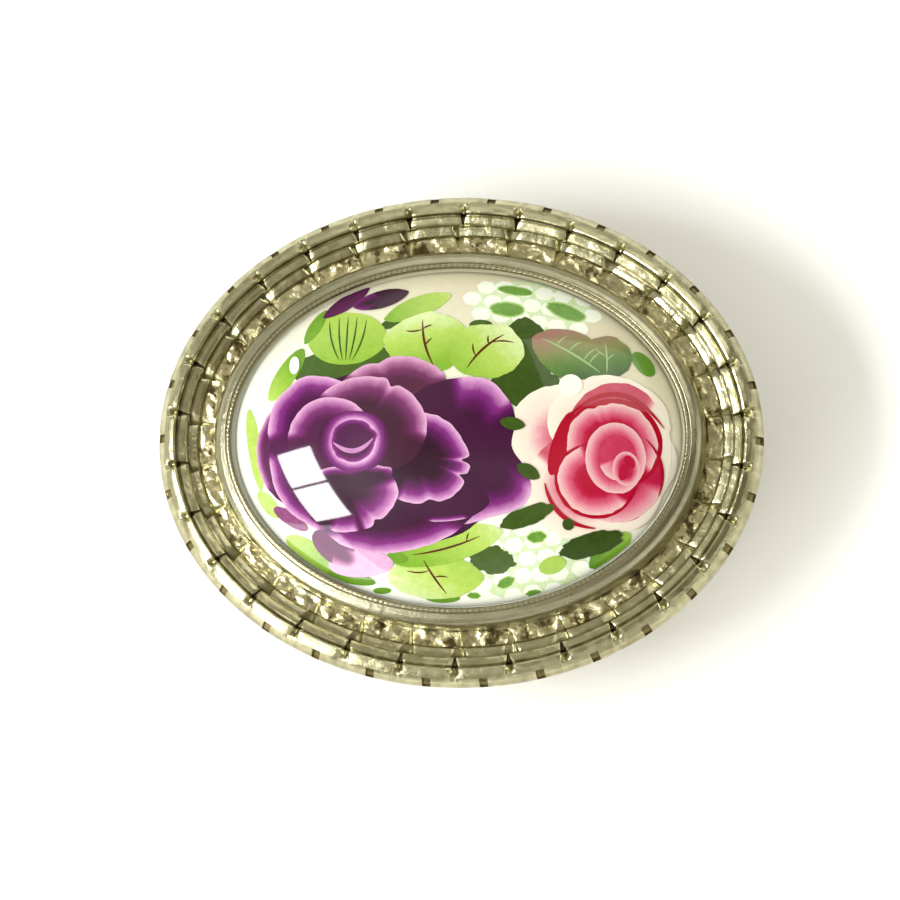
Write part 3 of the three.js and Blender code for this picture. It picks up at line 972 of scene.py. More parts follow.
    def relief(self, at: BorderGrid, x: np.ndarray, y: np.ndarray) -> np.ndarray:
        """The unevenness of the casting: every block has its own lift and a tilt about its
        middle, the whole has two sizes of noise, and the channel's floor is hammered.

        Args:
            at: the grid.
            x: the points' places along X.
            y: their places along Y.

        Returns:
            The height to add.
        """
        pitch = self.oval.perimeter / self.pitches
        right = at.across > 0
        side = np.where(right, at.block, at.block - 1)
        later = np.where(at.inset < self.second_course, 1, 2)
        course = np.where(at.inset < self.first_course, 0, later) + 0 * at.u
        lift = self.block_lift * (lattice(side, course, 11) - 0.5)
        from_middle = at.across - np.where(right, 0.5, -0.5) * pitch
        tilt = self.block_tilt * (lattice(side, course, 12) - 0.5) * from_middle
        cast = 0.035 * value_noise(x, y, 0.9, 5) + 0.018 * value_noise(x, y, 0.3, 6)
        on_block = (at.inset > 0.05) & (at.inset < self.blocks_end)
        hammer = value_noise(x, y, self.hammer_cell, 7) + 0.6 * value_noise(x, y, self.hammer_cell / 2, 8)
        return on_block * (lift + tilt + cast) + self.channel_floor(at) * self.hammer_depth * hammer

    def stains(self, at: BorderGrid, x: np.ndarray, y: np.ndarray, depth: np.ndarray,
               notch: np.ndarray) -> np.ndarray:
        """Where tarnish gathers: at the steps, in the cuts, along the rim and in faint streaks.

        Args:
            at: the grid.
            x: the points' places along X.
            y: their places along Y.
            depth: how deep each point is cut.
            notch: whether it is in a notch.

        Returns:
            The tarnish, from 0 to 1.
        """
        step = sum(strength * np.exp(-(((at.inset - middle) / width) ** 2))
                   for middle, width, strength in self.STEPS)
        step = step + 0.5 * smoothstep(0.55, 0.1, at.inset)
        hollow = np.clip(step + 0.9 * notch + 0.5 * np.where(at.lower, 0, depth), 0, 1)
        streaks = 0.25 * value_noise(x, y, 0.5, 9)
        return np.clip((hollow + streaks) * at.top, 0, 1)

    def build(self) -> None:
        """Makes the border with its plate.

        Height on the upper side is the profile's plus the relief, less the cuts and less a bevel
        that dies away from each wall. It stays above notch_floor near the rim and above the
        plate elsewhere.
        """
        at = self.layout()
        depth, notch = self.cuts(at)
        place = self.oval.place(at.u, at.inset + 0 * at.u, at.z + 0 * at.u)
        x, y = place[..., 0], place[..., 1]
        from_wall = np.clip(np.abs(at.across) - at.half, 0, None)
        bevel = self.bevel_depth * np.exp(-from_wall / self.bevel_width)
        bevel = bevel * (at.inset < self.blocks_end) * ~(at.within < self.groove_wall)
        lowered = place[..., 2] + np.where(at.top, self.relief(at, x, y) - depth - bevel, 0)
        least = np.where(at.inset < self.notch_reach, self.notch_floor, self.plate_low + self.least_plate)
        place[..., 2] = np.where(at.top, np.maximum(lowered, np.minimum(at.z, least)), at.z)
        numbers = {
            "cavity": self.stains(at, x, y, depth, notch),
            # Painted glitter on the hammered channel floor.
            "patch": np.clip(self.channel_floor(at) * at.top, 0, 1),
        }
        border = Shell.from_grid(place, wrap_rows=True, wrap_columns=True, numbers=numbers)
        disc = plate(self.oval, 5.3, self.plate_low, self.channel_z)
        cast = self.finishes.cast
        make_piece("lid_border", border, Body.LID, cast, ("lid_frame",), 28.0)
        make_piece("lid_plate", disc, Body.LID, cast, ("lid_frame",))


@dataclass
class Bezel:
    """The sloping collar round the cabochon, its lip pressed down by a fine row of ticks."""

    oval: Oval
    finishes: Finishes
    ticks: int = 250
    tick_depth: float = 0.035
    columns: int = 1000

    PROFILE = (
        (4.95, 13.20), (4.97, 14.00), (5.10, 14.62), (5.35, 15.02), (5.70, 15.28), (6.12, 15.44),
        (6.22, 15.40), (6.34, 15.52), (6.52, 15.54), (6.66, 15.42), (6.70, 15.28), (6.62, 15.10),
        (6.10, 14.80), (6.10, 13.20),
    )

    def build(self) -> None:
        """Makes the ring.

        The profile is rounded and carried round the oval. Its lip, between insets 6.2 and 6.7,
        is dented by a raised cosine for each tick, and the slope outside it waves slightly as
        hand-pressed metal does. The dents and the groove on the lip are darkened as tarnish, and the
        lip's inner slope down to the clay is darkened as painted shade.
        """
        profile = rounded(list(self.PROFILE), 0.1, 4)
        u = np.arange(self.columns)[None, :] / self.columns
        inset, z = profile[:, :1], profile[:, 1:]
        grid = self.oval.place(u, inset + 0 * u, z + 0 * u)
        x, y = grid[..., 0], grid[..., 1]
        lip = smoothstep(6.18, 6.3, inset) * smoothstep(15.05, 15.3, z)
        wave = np.cos(2 * np.pi * self.ticks * u + 1.4 * value_noise(x, y, 3.0, 21))
        press = (0.5 + 0.5 * wave) ** 3 * (0.65 + 0.35 * value_noise(x, y, 1.1, 24))
        slope = 1 - smoothstep(6.0, 6.15, inset)
        grid[..., 2] += slope * (0.05 * value_noise(x, y, 4.0, 22) + 0.012 * value_noise(x, y, 0.5, 23))
        grid[..., 2] -= lip * press * self.tick_depth
        groove = np.exp(-(((inset - 6.22) / 0.06) ** 2)) * (z > 15)
        # Painted shade: the lip's inner slope, from inset 6.5 down to the clay, gets the full dark tint.
        inner = smoothstep(6.5, 6.62, inset)
        numbers = {"cavity": np.clip(lip * press * 0.7 + 0.8 * groove + inner + 0 * u, 0, 1)}
        shell = Shell.from_grid(grid, wrap_rows=True, wrap_columns=True, numbers=numbers)
        make_piece("bezel_collar", shell, Body.LID, self.finishes.bezel, ("bezel_ring",), 50.0)


# ---- cabochon ----------------------------------------------------------------------------------


@dataclass(frozen=True)
class Dome:
    """The cabochon's surface: z = edge + height (1 - r^2)^fullness, r the share of the way out."""

    half_length: float = 19.5
    half_width: float = 14.7
    edge_z: float = 14.6
    height: float = 4.36
    fullness: float = 0.75
    layer: float = 0.006           # how far each layer of the pattern stands above the last
    reach: float = 0.992           # patterns are kept this far from the rim

    def lay(self, plan: np.ndarray, lift: float) -> np.ndarray:
        """Lays points drawn on the plan onto the dome, pulling in any that pass the rim.

        Args:
            plan: points with a last axis of x and y.
            lift: height above the dome.

        Returns:
            The same points with x, y and z.
        """
        r = np.hypot(plan[..., 0] / self.half_length, plan[..., 1] / self.half_width)
        kept = plan * np.minimum(1, self.reach / np.maximum(r, 1e-9))[..., None]
        z = self.edge_z + self.height * (1 - np.minimum(r, self.reach) ** 2) ** self.fullness + lift
        return np.concatenate([kept, z[..., None]], -1)


@dataclass(frozen=True)
class Lobe:
    """A rounded bump in an oval's edge, or a notch where its depth is below zero."""

    at: float                      # direction from the oval's centre, in degrees
    depth: float                   # as a share of the radius there
    width: float = 12.0            # in degrees


@dataclass(frozen=True)
class Window:
    """A stretch of an oval's edge where the clay is pale, and how far in the paleness fades."""

    start: float
    end: float
    spread: float


@dataclass(frozen=True)
class LobedOval:
    """One thin layer of the pattern: an oval whose edge has lobes and a slight ruffle."""

    centre: Point
    half: Point
    turn: float = 0.0
    windows: tuple[Window, ...] = ()
    lobes: tuple[Lobe, ...] = ()
    deep: float = 1.0              # tone away from the windows
    pale: float = 0.0              # tone at the edge inside a window
    warmth: float = 0.0
    corners: int = 0               # even ripples round the edge
    tip: float = 0.0               # draws the two ends out to points
    ruffle: float = 0.015
    drift: Point = (0.0, 0.0)      # direction in degrees in which the tone grows, and how much
    inside_out: bool = False       # pale at the centre and not at the edge

    def place(self, heading: float, share: float) -> Point:
        """The place at a share of the way from the centre to the plain oval's edge.

        Args:
            heading: its direction from the centre, in degrees anticlockwise from +X.
            share: how much of the way out it lies.

        Returns:
            The place on the plan.
        """
        lean, aim = math.radians(heading - self.turn), math.radians(heading)
        out = share / math.hypot(math.cos(lean) / self.half[0], math.sin(lean) / self.half[1])
        return (self.centre[0] + out * math.cos(aim), self.centre[1] + out * math.sin(aim))

    def rib(
        self, heading: float, share: float, bend: float = 0.0, width: float = 0.18, tone: float = 0.5,
    ) -> "Vein":
        """A vein straight through the oval's middle.

        Args:
            heading: the direction in which it runs, in degrees.
            share: how much of the way to the edge it reaches on both sides.
            bend: how far its middle stands to the left.
            width: its width.
            tone: its tone.

        Returns:
            The vein.
        """
        return Vein(self.place(heading + 180, share), self.place(heading, share), bend, width, tone)

    def edging(
        self, first: float, last: float, share: float, width: float = 0.4, tone: float = 1.0,
    ) -> "Vein":
        """A vein that follows the oval's edge.

        Args:
            first: the direction of its first end, in degrees.
            last: the direction of its other end.
            share: how far out it runs, 1 being the edge itself.
            width: its width.
            tone: its tone.

        Returns:
            The vein, bent to pass through the edge half way between its ends.
        """
        start, end = self.place(first, share), self.place(last, share)
        middle = self.place((first + last) / 2, share)
        run = (end[0] - start[0], end[1] - start[1])
        off = (middle[0] - (start[0] + end[0]) / 2, middle[1] - (start[1] + end[1]) / 2)
        bend = (run[0] * off[1] - run[1] * off[0]) / math.hypot(*run)
        return Vein(start, end, bend, width, tone)


@dataclass(frozen=True)
class Vein:
    """A thin line of clay along a shallow arc, tapering to both ends."""

    start: Point
    end: Point
    bend: float = 0.0              # how far its middle stands to the left of the chord
    width: float = 0.14
    tone: float = 0.5

    def with_twigs(self, *twigs: tuple[float, float, float]) -> tuple["Vein", ...]:
        """The vein and its side twigs.

        Args:
            twigs: for each, its share of the way along, its turn from the vein's direction in
                degrees anticlockwise, and its length.

        Returns:
            The vein, then its twigs.
        """
        run = (self.end[0] - self.start[0], self.end[1] - self.start[1])
        heading = math.atan2(run[1], run[0])
        size = math.hypot(*run)
        found = [self]
        for share, turn, length in twigs:
            out = 4 * self.bend * share * (1 - share) / size
            root = (
                self.start[0] + share * run[0] - out * run[1],
                self.start[1] + share * run[1] + out * run[0],
            )
            aim = heading + math.radians(turn)
            tip = (root[0] + length * math.cos(aim), root[1] + length * math.sin(aim))
            found.append(Vein(root, tip, 0.08 * length, 0.7 * self.width, self.tone))
        return tuple(found)


def turned(vectors: np.ndarray, degrees: float) -> np.ndarray:
    """Turns plan vectors anticlockwise.

    Args:
        vectors: an array with a last axis of x and y.
        degrees: how far to turn them.

    Returns:
        The turned vectors.
    """
    lean = math.radians(degrees)
    return vectors @ np.array([[math.cos(lean), math.sin(lean)], [-math.sin(lean), math.cos(lean)]])


def apart(first: np.ndarray, second: float) -> np.ndarray:
    """The angle between two directions, from 0 to 180 degrees."""
    return np.abs(np.mod(first - second + 180, 360) - 180)


@dataclass(frozen=True)
class Pattern:
    """Turns lobed ovals and veins into thin closed sheets laid on a dome."""

    dome: Dome
    thickness: float = 0.2
    softness: float = 14.0         # degrees over which a window fades out at its ends
    shaded: tuple[int, int] = (260, 24)  # spokes and rings of an oval that has windows
    plain: tuple[int, int] = (80, 10)
    corner_depth: float = 0.04
    broad_waves: float = 3.2       # how far round the noise the edge reads its ruffle
    fine_waves: float = 8.0

    def oval(self, part: LobedOval, lift: float) -> Shell:
        """A lobed oval as rings about its centre.

        The edge stands at the ellipse's radius times 1 plus the sum of its lobes, each a bell
        curve of direction. Rings lie at a share 1 - (1 - s)^1.8 of it, close together at the
        edge where the colour changes. Tone grows with the distance in from a window's edge.

        Args:
            part: the oval.
            lift: its height above the dome.

        Returns:
            The closed sheet, with its tone and warmth.
        """
        spokes, rings = self.shaded if part.windows else self.plain
        angle = np.linspace(0, 2 * np.pi, spokes, endpoint=False)
        narrowing = np.abs(np.sin(angle)) ** part.tip
        across = np.stack([part.half[0] * np.cos(angle), part.half[1] * np.sin(angle) * narrowing], 1)
        ray = turned(across, part.turn)
        facing = np.degrees(np.arctan2(ray[:, 1], ray[:, 0]))
        east, north = np.cos(angle), np.sin(angle)
        x, y = part.centre
        broad = value_noise(self.broad_waves * east + x, self.broad_waves * north + y, 1.0, 31)
        fine = value_noise(self.fine_waves * east + y, self.fine_waves * north + x, 1.0, 32)
        factor = 1 + part.ruffle * (broad + 0.6 * fine)
        if part.corners:
            factor = factor + self.corner_depth * np.cos(part.corners * angle)
        for lobe in part.lobes:
            factor = factor + lobe.depth * np.exp(-((apart(facing, lobe.at) / lobe.width) ** 2))
        share = (1 - (1 - np.linspace(0.04, 1, rings)) ** 1.8)[:, None]
        plan = np.array(part.centre) + (ray * factor[:, None])[None] * share[..., None]
        along, aside = part.half
        support = along * aside / np.hypot(aside * np.cos(angle), along * np.sin(angle))
        inwards = (share if part.inside_out else 1 - share) * (support * factor)[None]
        lit = np.zeros(plan.shape[:2])
        for window in part.windows:
            middle, half = (window.start + window.end) / 2, (window.end - window.start) / 2
            fade = smoothstep(half - self.softness, half + 2, apart(facing, middle)) * (half < 180)
            lit = np.maximum(lit, (1 - fade)[None] * (1 - np.clip(inwards / window.spread, 0, 1)))
        heading = np.array([math.cos(math.radians(part.drift[0])), math.sin(math.radians(part.drift[0]))])
        slope = (plan - np.array(part.centre)) @ heading / max(part.half) * part.drift[1]
        tone = np.clip(part.deep - (part.deep - part.pale) * lit + slope, 0, 1)
        grid = np.concatenate([self.dome.lay(plan, lift), self.dome.lay(plan[[-1, 0]], -self.thickness)])
        tones = np.concatenate([tone, tone[[-1, 0]]])
        numbers = {"tone": tones, "warmth": np.full_like(tones, part.warmth)}
        return Shell.from_grid(grid, wrap_columns=True, numbers=numbers)

    def vein(self, part: Vein, lift: float) -> Shell:
        """A vein as a narrow strip: the chord pushed sideways by 4 bend t (1 - t), its width
        following the sine of the way along to the power 0.6.

        Args:
            part: the vein.
            lift: its height above the dome.

        Returns:
            The closed strip, with its tone.
        """
        t = np.linspace(0, 1, 36)[:, None]
        start, chord = np.array(part.start), np.array(part.end) - np.array(part.start)
        side = turned(chord, 90) / np.linalg.norm(chord)
        path = start + t * chord + side * part.bend * 4 * t * (1 - t)
        along = chord + side * part.bend * 4 * (1 - 2 * t)
        normal = turned(along, 90) / np.linalg.norm(along, axis=1, keepdims=True)
        swell = np.sin(np.linspace(0.06, np.pi - 0.06, len(t)))[:, None] ** 0.6
        lanes = np.linspace(-0.5, 0.5, 4)[:, None, None]
        plan = path[None] + normal[None] * part.width * swell[None] * lanes
        grid = np.concatenate([self.dome.lay(plan, lift), self.dome.lay(plan[[-1, 0]], -self.thickness)])
        return Shell.from_grid(grid, wrap_rows=True, numbers={"tone": np.full(grid.shape[:2], part.tone)})

    def sheets(self, parts: tuple[LobedOval | Vein, ...], level: int, step: int) -> Shell:
        """Lays parts one above another, or side by side where step is 0.

        Args:
            parts: the ovals and veins, lowest first.
            level: the first part's layer.
            step: layers from one part to the next.

        Returns:
            All of them as one shell.
        """
        make = {LobedOval: self.oval, Vein: self.vein}
        return Shell.joined([
            make[type(part)](part, (level + k * step) * self.dome.layer) for k, part in enumerate(parts)
        ])


@dataclass(frozen=True)
class PurpleRose:
    """The large rose: dark petals with lilac edges, wrapped round a small dark eye."""

    def petals(self) -> tuple[LobedOval | Vein, ...]:
        """The petals and, inside the eye, a curl.

        Returns:
            Them all, lowest first.
        """
        heart = LobedOval(
            (-8.7, -0.75), (1.95, 1.85), 0, (Window(0, 360, 0.5),), (Lobe(15, 0.12, 14),), 0.7, 0.25,
            ruffle=0.03,
        )
        return (
            LobedOval((-5.6, -2.2), (10.6, 7.4), -10, deep=0.85),
            LobedOval((-8.1, -11.2), (2.9, 1.1), deep=0.02),
            LobedOval((-14.3, -7.3), (1.8, 0.55), -33, deep=0.3, warmth=0.8),
            LobedOval((-10.4, -9.9), (2.3, 1.15), -35, (Window(250, 360, 0.9),), deep=0.5, warmth=0.6),
            LobedOval((-13.0, -1.6), (4.4, 4.9), 10, (Window(110, 230, 0.7),), deep=0.6, warmth=0.5),
            LobedOval(
                (-5.4, 3.3), (4.9, 3.3), 8, (Window(10, 165, 2.0),), (Lobe(115, -0.1),), 0.65, warmth=1.0,
            ),
            LobedOval(
                (0.5, -1.6), (6.0, 6.3), 0, (Window(35, 100, 3.2), Window(-95, -15, 2.4)),
                (Lobe(-32, 0.22, 22), Lobe(5, -0.24, 25), Lobe(68, 0.06, 14)), 0.8,
            ),
            LobedOval((-4.8, -5.6), (7.4, 4.7), 10, (Window(200, 340, 2.1),), deep=0.85, ruffle=0.02),
            LobedOval((-0.4, -6.2), (3.6, 1.5), 6, (Window(215, 330, 0.5),), deep=0.8),
            LobedOval((-10.2, -2.2), (6.0, 6.3), 0, (Window(170, 265, 1.5),), deep=0.8),
            LobedOval((-12.0, 0.7), (4.4, 4.3), 20, (Window(35, 200, 1.9),), (Lobe(108, 0.06),), 0.7),
            LobedOval(
                (-3.0, -2.3), (4.6, 3.9), -22, (Window(-125, 100, 2.3),),
                (Lobe(-3, -0.16, 3), Lobe(-22, -0.15, 3), Lobe(-75, -0.09, 9)), 0.95, ruffle=0.02,
            ),
            LobedOval(
                (-7.4, 0.6), (5.2, 4.2), -12, (Window(-20, 155, 2.4),),
                (Lobe(60, -0.1, 5), Lobe(72, 0.04, 6)), 0.85, warmth=0.7, ruffle=0.015,
            ),
            LobedOval((-10.7, -0.4), (3.8, 3.5), -8, (Window(30, 185, 1.9),), deep=0.7, warmth=0.4),
            LobedOval(
                (-8.9, -5.4), (4.2, 3.1), 8,
                (Window(20, 165, 0.9), Window(-75, 25, 3.0), Window(230, 290, 1.9)),
                (Lobe(90, -0.26, 35), Lobe(-45, -0.1, 5), Lobe(32, 0.1, 6)), 0.9, ruffle=0.02,
            ),
            LobedOval(
                (-8.6, -0.8), (3.3, 2.65), -5, (Window(0, 360, 3.0),), deep=0.75, pale=-1.25,
                inside_out=True, ruffle=0.02,
            ),
            heart,
            heart.rib(5, 0.9, -0.9, 0.42, 0.12),
        )


@dataclass(frozen=True)
class PinkRose:
    """The small rose: cream outer petals and pink inner ones, edged with crimson."""

    def petals(self) -> tuple[LobedOval | Vein, ...]:
        """The petals and the crimson lines between them.

        Returns:
            Them all, lowest first.
        """
        right = LobedOval((13.8, -3.4), (4.1, 4.1), 0, (Window(215, 350, 2.0),), deep=0.75, pale=0.1)
        upper = LobedOval((13.7, -0.8), (4.15, 3.95))
        lower = LobedOval((12.2, -4.0), (3.45, 3.25))
        return (
            LobedOval((11.8, -2.1), (7.2, 6.7), corners=7, deep=0.15, warmth=1.0),
            LobedOval((9.3, -0.3), (4.7, 4.5), 0, (Window(50, 290, 4.0),), deep=0.8, warmth=1.0),
            LobedOval((11.0, -4.6), (4.6, 4.5), 0, (Window(140, 350, 3.0),), deep=0.8, warmth=1.0),
            LobedOval(
                (13.3, 0.9), (5.2, 4.3), -5, (Window(-10, 205, 3.5),), (Lobe(135, -0.12, 14),), 0.75,
                warmth=1.0,
            ),
            LobedOval((14.0, -1.4), (4.6, 6.0), 0, (Window(-70, 60, 3.2),), deep=0.85, warmth=1.0),
            right,
            LobedOval((9.3, -0.9), (2.9, 0.8), 72),
            upper,
            LobedOval(
                (13.6, -0.9), (3.85, 3.65), -8, (Window(-40, 200, 1.9),),
                (Lobe(118, -0.05, 6), Lobe(100, -0.04, 6)), 0.95, 0.04, ruffle=0.025,
            ),
            lower,
            LobedOval(
                (12.3, -3.9), (3.25, 3.05), 10, (Window(110, 330, 1.9),), deep=0.9, pale=0.04,
                ruffle=0.025,
            ),
            LobedOval((13.9, -2.0), (2.55, 3.05), 0, (Window(0, 360, 1.3),), deep=0.75, pale=0.06),
            LobedOval((14.1, -2.0), (1.6, 1.95), 0, (Window(200, 350, 1.6),), deep=0.65, pale=0.08),
            LobedOval((14.8, -2.9), (1.15, 1.45), 0, (Window(0, 360, 0.6),), deep=0.7, pale=0.08),
            LobedOval((15.1, -2.3), (0.4, 0.6), 35, deep=0.85),
            LobedOval((14.6, -3.2), (0.4, 0.75), -15, deep=0.85),
            upper.edging(155, 20, 1.1),
            right.edging(50, -25, 1.0, 0.25),
            lower.edging(185, 270, 1.25),
        )


@dataclass(frozen=True)
class BlossomBed:
    """A bed of blossom: pale six-sided cells in a staggered grid over a greener ground."""

    centre: Point
    half: Point
    turn: float
    cell: float = 1.7
    jitter: float = 0.3            # how far a cell may stand off its place, in millimetres
    squash: float = 0.78
    rim: float = 0.95              # cells stand where the oval's equation is below this

    def ground(self) -> LobedOval:
        """The bed under the cells."""
        return LobedOval(self.centre, self.half, self.turn, deep=0.54, ruffle=0.06)

    def cells(self) -> tuple[LobedOval, ...]:
        """The cells, each turned with the bed.

        Returns:
            One oval for each place of the grid that lies inside the bed.
        """
        row, column = np.meshgrid(np.arange(-6, 7), np.arange(-7, 8), indexing="ij")
        along = (column + 0.5 * np.mod(row, 2)) * self.cell
        across = row * self.cell * self.squash
        inside = (along / self.half[0]) ** 2 + (across / self.half[1]) ** 2 < self.rim
        loose = np.stack([lattice(row, column, 61), lattice(row, column, 62)], -1)[inside] - 0.5
        grid = np.stack([along[inside], across[inside]], 1) + self.jitter * loose
        places = turned(grid, self.turn) + np.array(self.centre)
        half = (0.47 * self.cell, 0.47 * self.cell * self.squash)
        return tuple(
            LobedOval((float(x), float(y)), half, self.turn, deep=0.1, corners=6, drift=(-90, 0.08))
            for x, y in places
        )


@dataclass(frozen=True)
class Foliage:
    """The leaves, the bud and the dark ground round the roses."""

    def shades(self) -> tuple[LobedOval, ...]:
        """Dark ground behind the leaves and beside the roses.

        Returns:
            Its ovals, lowest first.
        """
        return (
            LobedOval((-9.0, 5.8), (5.6, 1.8), 3, deep=0.3, ruffle=0.05),
            LobedOval((5.9, 6.2), (2.4, 4.0), deep=0.5, ruffle=0.07),
            LobedOval((6.2, 4.2), (3.0, 1.3), deep=0.6, ruffle=0.06),
            LobedOval((2.1, 9.5), (1.0, 0.5), deep=0.3),
            LobedOval((-5.4, 9.9), (1.4, 0.5), 25, deep=0.4),
            LobedOval((3.4, -10.9), (1.9, 1.1), deep=0.35, ruffle=0.12),
        )

    def overlaps(self) -> tuple[LobedOval, ...]:
        """Small dark leaves that lie over the roses' edges.

        Returns:
            One oval for each leaf.
        """
        return (
            LobedOval((5.1, 0.7), (1.1, 0.55), -10, deep=0.5, tip=0.4),
            LobedOval((6.5, -3.4), (1.1, 0.6), -30, deep=0.6, tip=0.4),
            LobedOval((6.4, -7.2), (2.5, 0.8), 20, deep=0.5, ruffle=0.09, tip=0.2),
            LobedOval((9.9, -7.8), (0.5, 0.5), deep=0.7),
            LobedOval((11.8, -9.4), (3.0, 0.95), 18, deep=0.75, ruffle=0.09, tip=0.2),
        )

    def leaves(self) -> tuple[LobedOval, ...]:
        """The small green leaves round the rim.

        Returns:
            One oval for each leaf.
        """
        return (
            LobedOval((-14.9, 5.3), (2.7, 0.9), 58, deep=0.6, drift=(58, 0.3)),
            LobedOval((-17.6, -1.2), (3.6, 0.6), 100, deep=0.3),
            LobedOval((-16.3, -6.0), (1.5, 0.6), -50, deep=0.25),
            LobedOval((-12.6, -10.4), (2.7, 1.1), -38, deep=0.5, drift=(-38, 0.2), tip=0.4),
            LobedOval((-9.0, -12.3), (2.2, 0.5), -12, deep=0.9),
            LobedOval((-6.3, -13.4), (0.8, 0.25), deep=0.9),
            LobedOval((-1.0, -14.0), (1.5, 0.4), deep=0.9),
            LobedOval((16.1, 6.4), (1.3, 0.7), -50, deep=0.95),
            LobedOval((13.4, -9.8), (2.3, 1.0), 40, deep=0.75, drift=(220, 0.25), tip=0.4),
            LobedOval((8.5, -11.2), (1.2, 0.7), 20, deep=0.4),
        )

    def top(self) -> tuple[LobedOval, ...]:
        """The two halves of the leaf above the purple rose.

        Returns:
            The left half and the right half.
        """
        return (
            LobedOval(
                (-2.4, 7.9), (3.6, 2.7), 0, (), (Lobe(85, 0.08, 14), Lobe(175, 0.1, 16)), 0.38,
                drift=(-80, 0.4), ruffle=0.03,
            ),
            LobedOval(
                (2.6, 7.1), (3.3, 2.4), 0, (), (Lobe(50, 0.12, 14), Lobe(130, 0.08, 16)), 0.32,
                drift=(-130, 0.3), ruffle=0.03,
            ),
        )

    def top_veins(self) -> tuple[Vein, ...]:
        """The brown veins of the top leaf.

        Returns:
            A rib and its twigs on each half.
        """
        left_half, right_half = self.top()
        left = left_half.rib(-75, 0.8, -0.3, 0.22)
        right = right_half.rib(45, 0.8, 0.3, 0.22)
        return (
            left.with_twigs((0.2, -100, 1.5), (0.2, 100, 0.9), (0.55, 125, 0.9))
            + right.with_twigs((0.3, 60, 1.2), (0.65, 50, 0.8), (0.7, -45, 2.0))
        )

    def bud(self) -> tuple[LobedOval, ...]:
        """The bud at the upper left, with the strip of leaf beside it.

        Returns:
            The strip, the bud and the leaf on its left.
        """
        return (
            LobedOval((-3.5, 11.2), (3.1, 1.0), 22, deep=0.45, drift=(200, 0.2), tip=0.4),
            LobedOval((-9.6, 8.4), (3.5, 2.4), deep=0.45, drift=(-90, 0.15)),
            LobedOval((-12.5, 9.6), (1.8, 0.6), 60, deep=0.8, tip=0.4),
        )

    def bud_ribs(self) -> tuple[Vein, ...]:
        """Ribs that fan up the bud from its foot.

        Returns:
            Five ribs. They leave the foot 8 degrees apart, reach the top 22 degrees apart, and
            each bends outwards by 0.12 for every place that it stands from the middle one.
        """
        body, share, width = self.bud()[1], 0.85, 0.16
        return tuple(
            Vein(body.place(-90 + 8 * k, share), body.place(90 - 22 * k, share), -0.12 * k, width)
            for k in range(-2, 3)
        )

    def bud_petals(self) -> tuple[LobedOval, ...]:
        """The purple petals that show above the bud.

        Returns:
            The left petal and the right petal.
        """
        return (
            LobedOval((-9.9, 11.8), (2.4, 0.7), 35, deep=0.6, warmth=0.6, tip=0.4),
            LobedOval((-6.8, 12.0), (2.5, 0.85), 15, (Window(130, 230, 0.9),), deep=0.9, pale=0.4, tip=0.3),
        )

    def right(self) -> tuple[LobedOval, ...]:
        """The two halves of the dark leaf above the pink rose, browner at their upper edges.

        Returns:
            The long half and the short half.
        """
        return (
            LobedOval((9.9, 6.9), (3.7, 2.2), -25, deep=0.45, drift=(-70, 0.7), ruffle=0.03, tip=0.35),
            LobedOval((12.9, 6.8), (2.2, 2.0), deep=0.55, drift=(-80, 0.5), ruffle=0.04),
        )

    def right_veins(self) -> tuple[Vein, ...]:
        """The pale veins of the right leaf.

        Returns:
            A rib and its twigs on each half.
        """
        long_half, short_half = self.right()
        long_rib = long_half.rib(-30, 0.8, 0.2)
        short_rib = short_half.rib(-85, 0.7, 0.1, 0.15)
        return long_rib.with_twigs((0.25, 75, 1.2), (0.45, 70, 1.5), (0.7, 75, 1.7), (0.8, 80, 1.5)) + (
            short_rib.with_twigs((0.45, -130, 1.2), (0.6, 130, 0.9))
        )

    def bottom(self) -> tuple[LobedOval, ...]:
        """The two halves of the bottom leaf and its dark tip.

        Returns:
            The lower half, the upper half and the tip.
        """
        return (
            LobedOval((-1.6, -12.3), (4.2, 1.8), 0, deep=0.28, drift=(60, 0.25), ruffle=0.03, tip=0.25),
            LobedOval((-0.6, -9.7), (5.1, 1.5), 14, deep=0.45, drift=(230, 0.35), tip=0.3),
            LobedOval((-4.8, -10.7), (0.95, 0.45), -12, deep=0.85),
        )

    def bottom_veins(self) -> tuple[Vein, ...]:
        """The brown veins of the bottom leaf.

        Returns:
            A rib and its twigs on each half.
        """
        lower, upper, _ = self.bottom()
        return (
            upper.rib(15, 0.6, -0.25).with_twigs((0.8, 60, 0.8))
            + lower.rib(-55, 0.8, -0.1).with_twigs((0.5, 55, 1.2), (0.3, -125, 2.0))
        )


@dataclass(frozen=True)
class Layer:
    """One piece of the pattern: its shapes, its height among the others and its finish."""

    name: str
    shapes: tuple[LobedOval | Vein, ...]
    level: int
    step: int
    slot: Slot
    material: bpy.types.Material
    replaces: tuple[str, ...] = ()


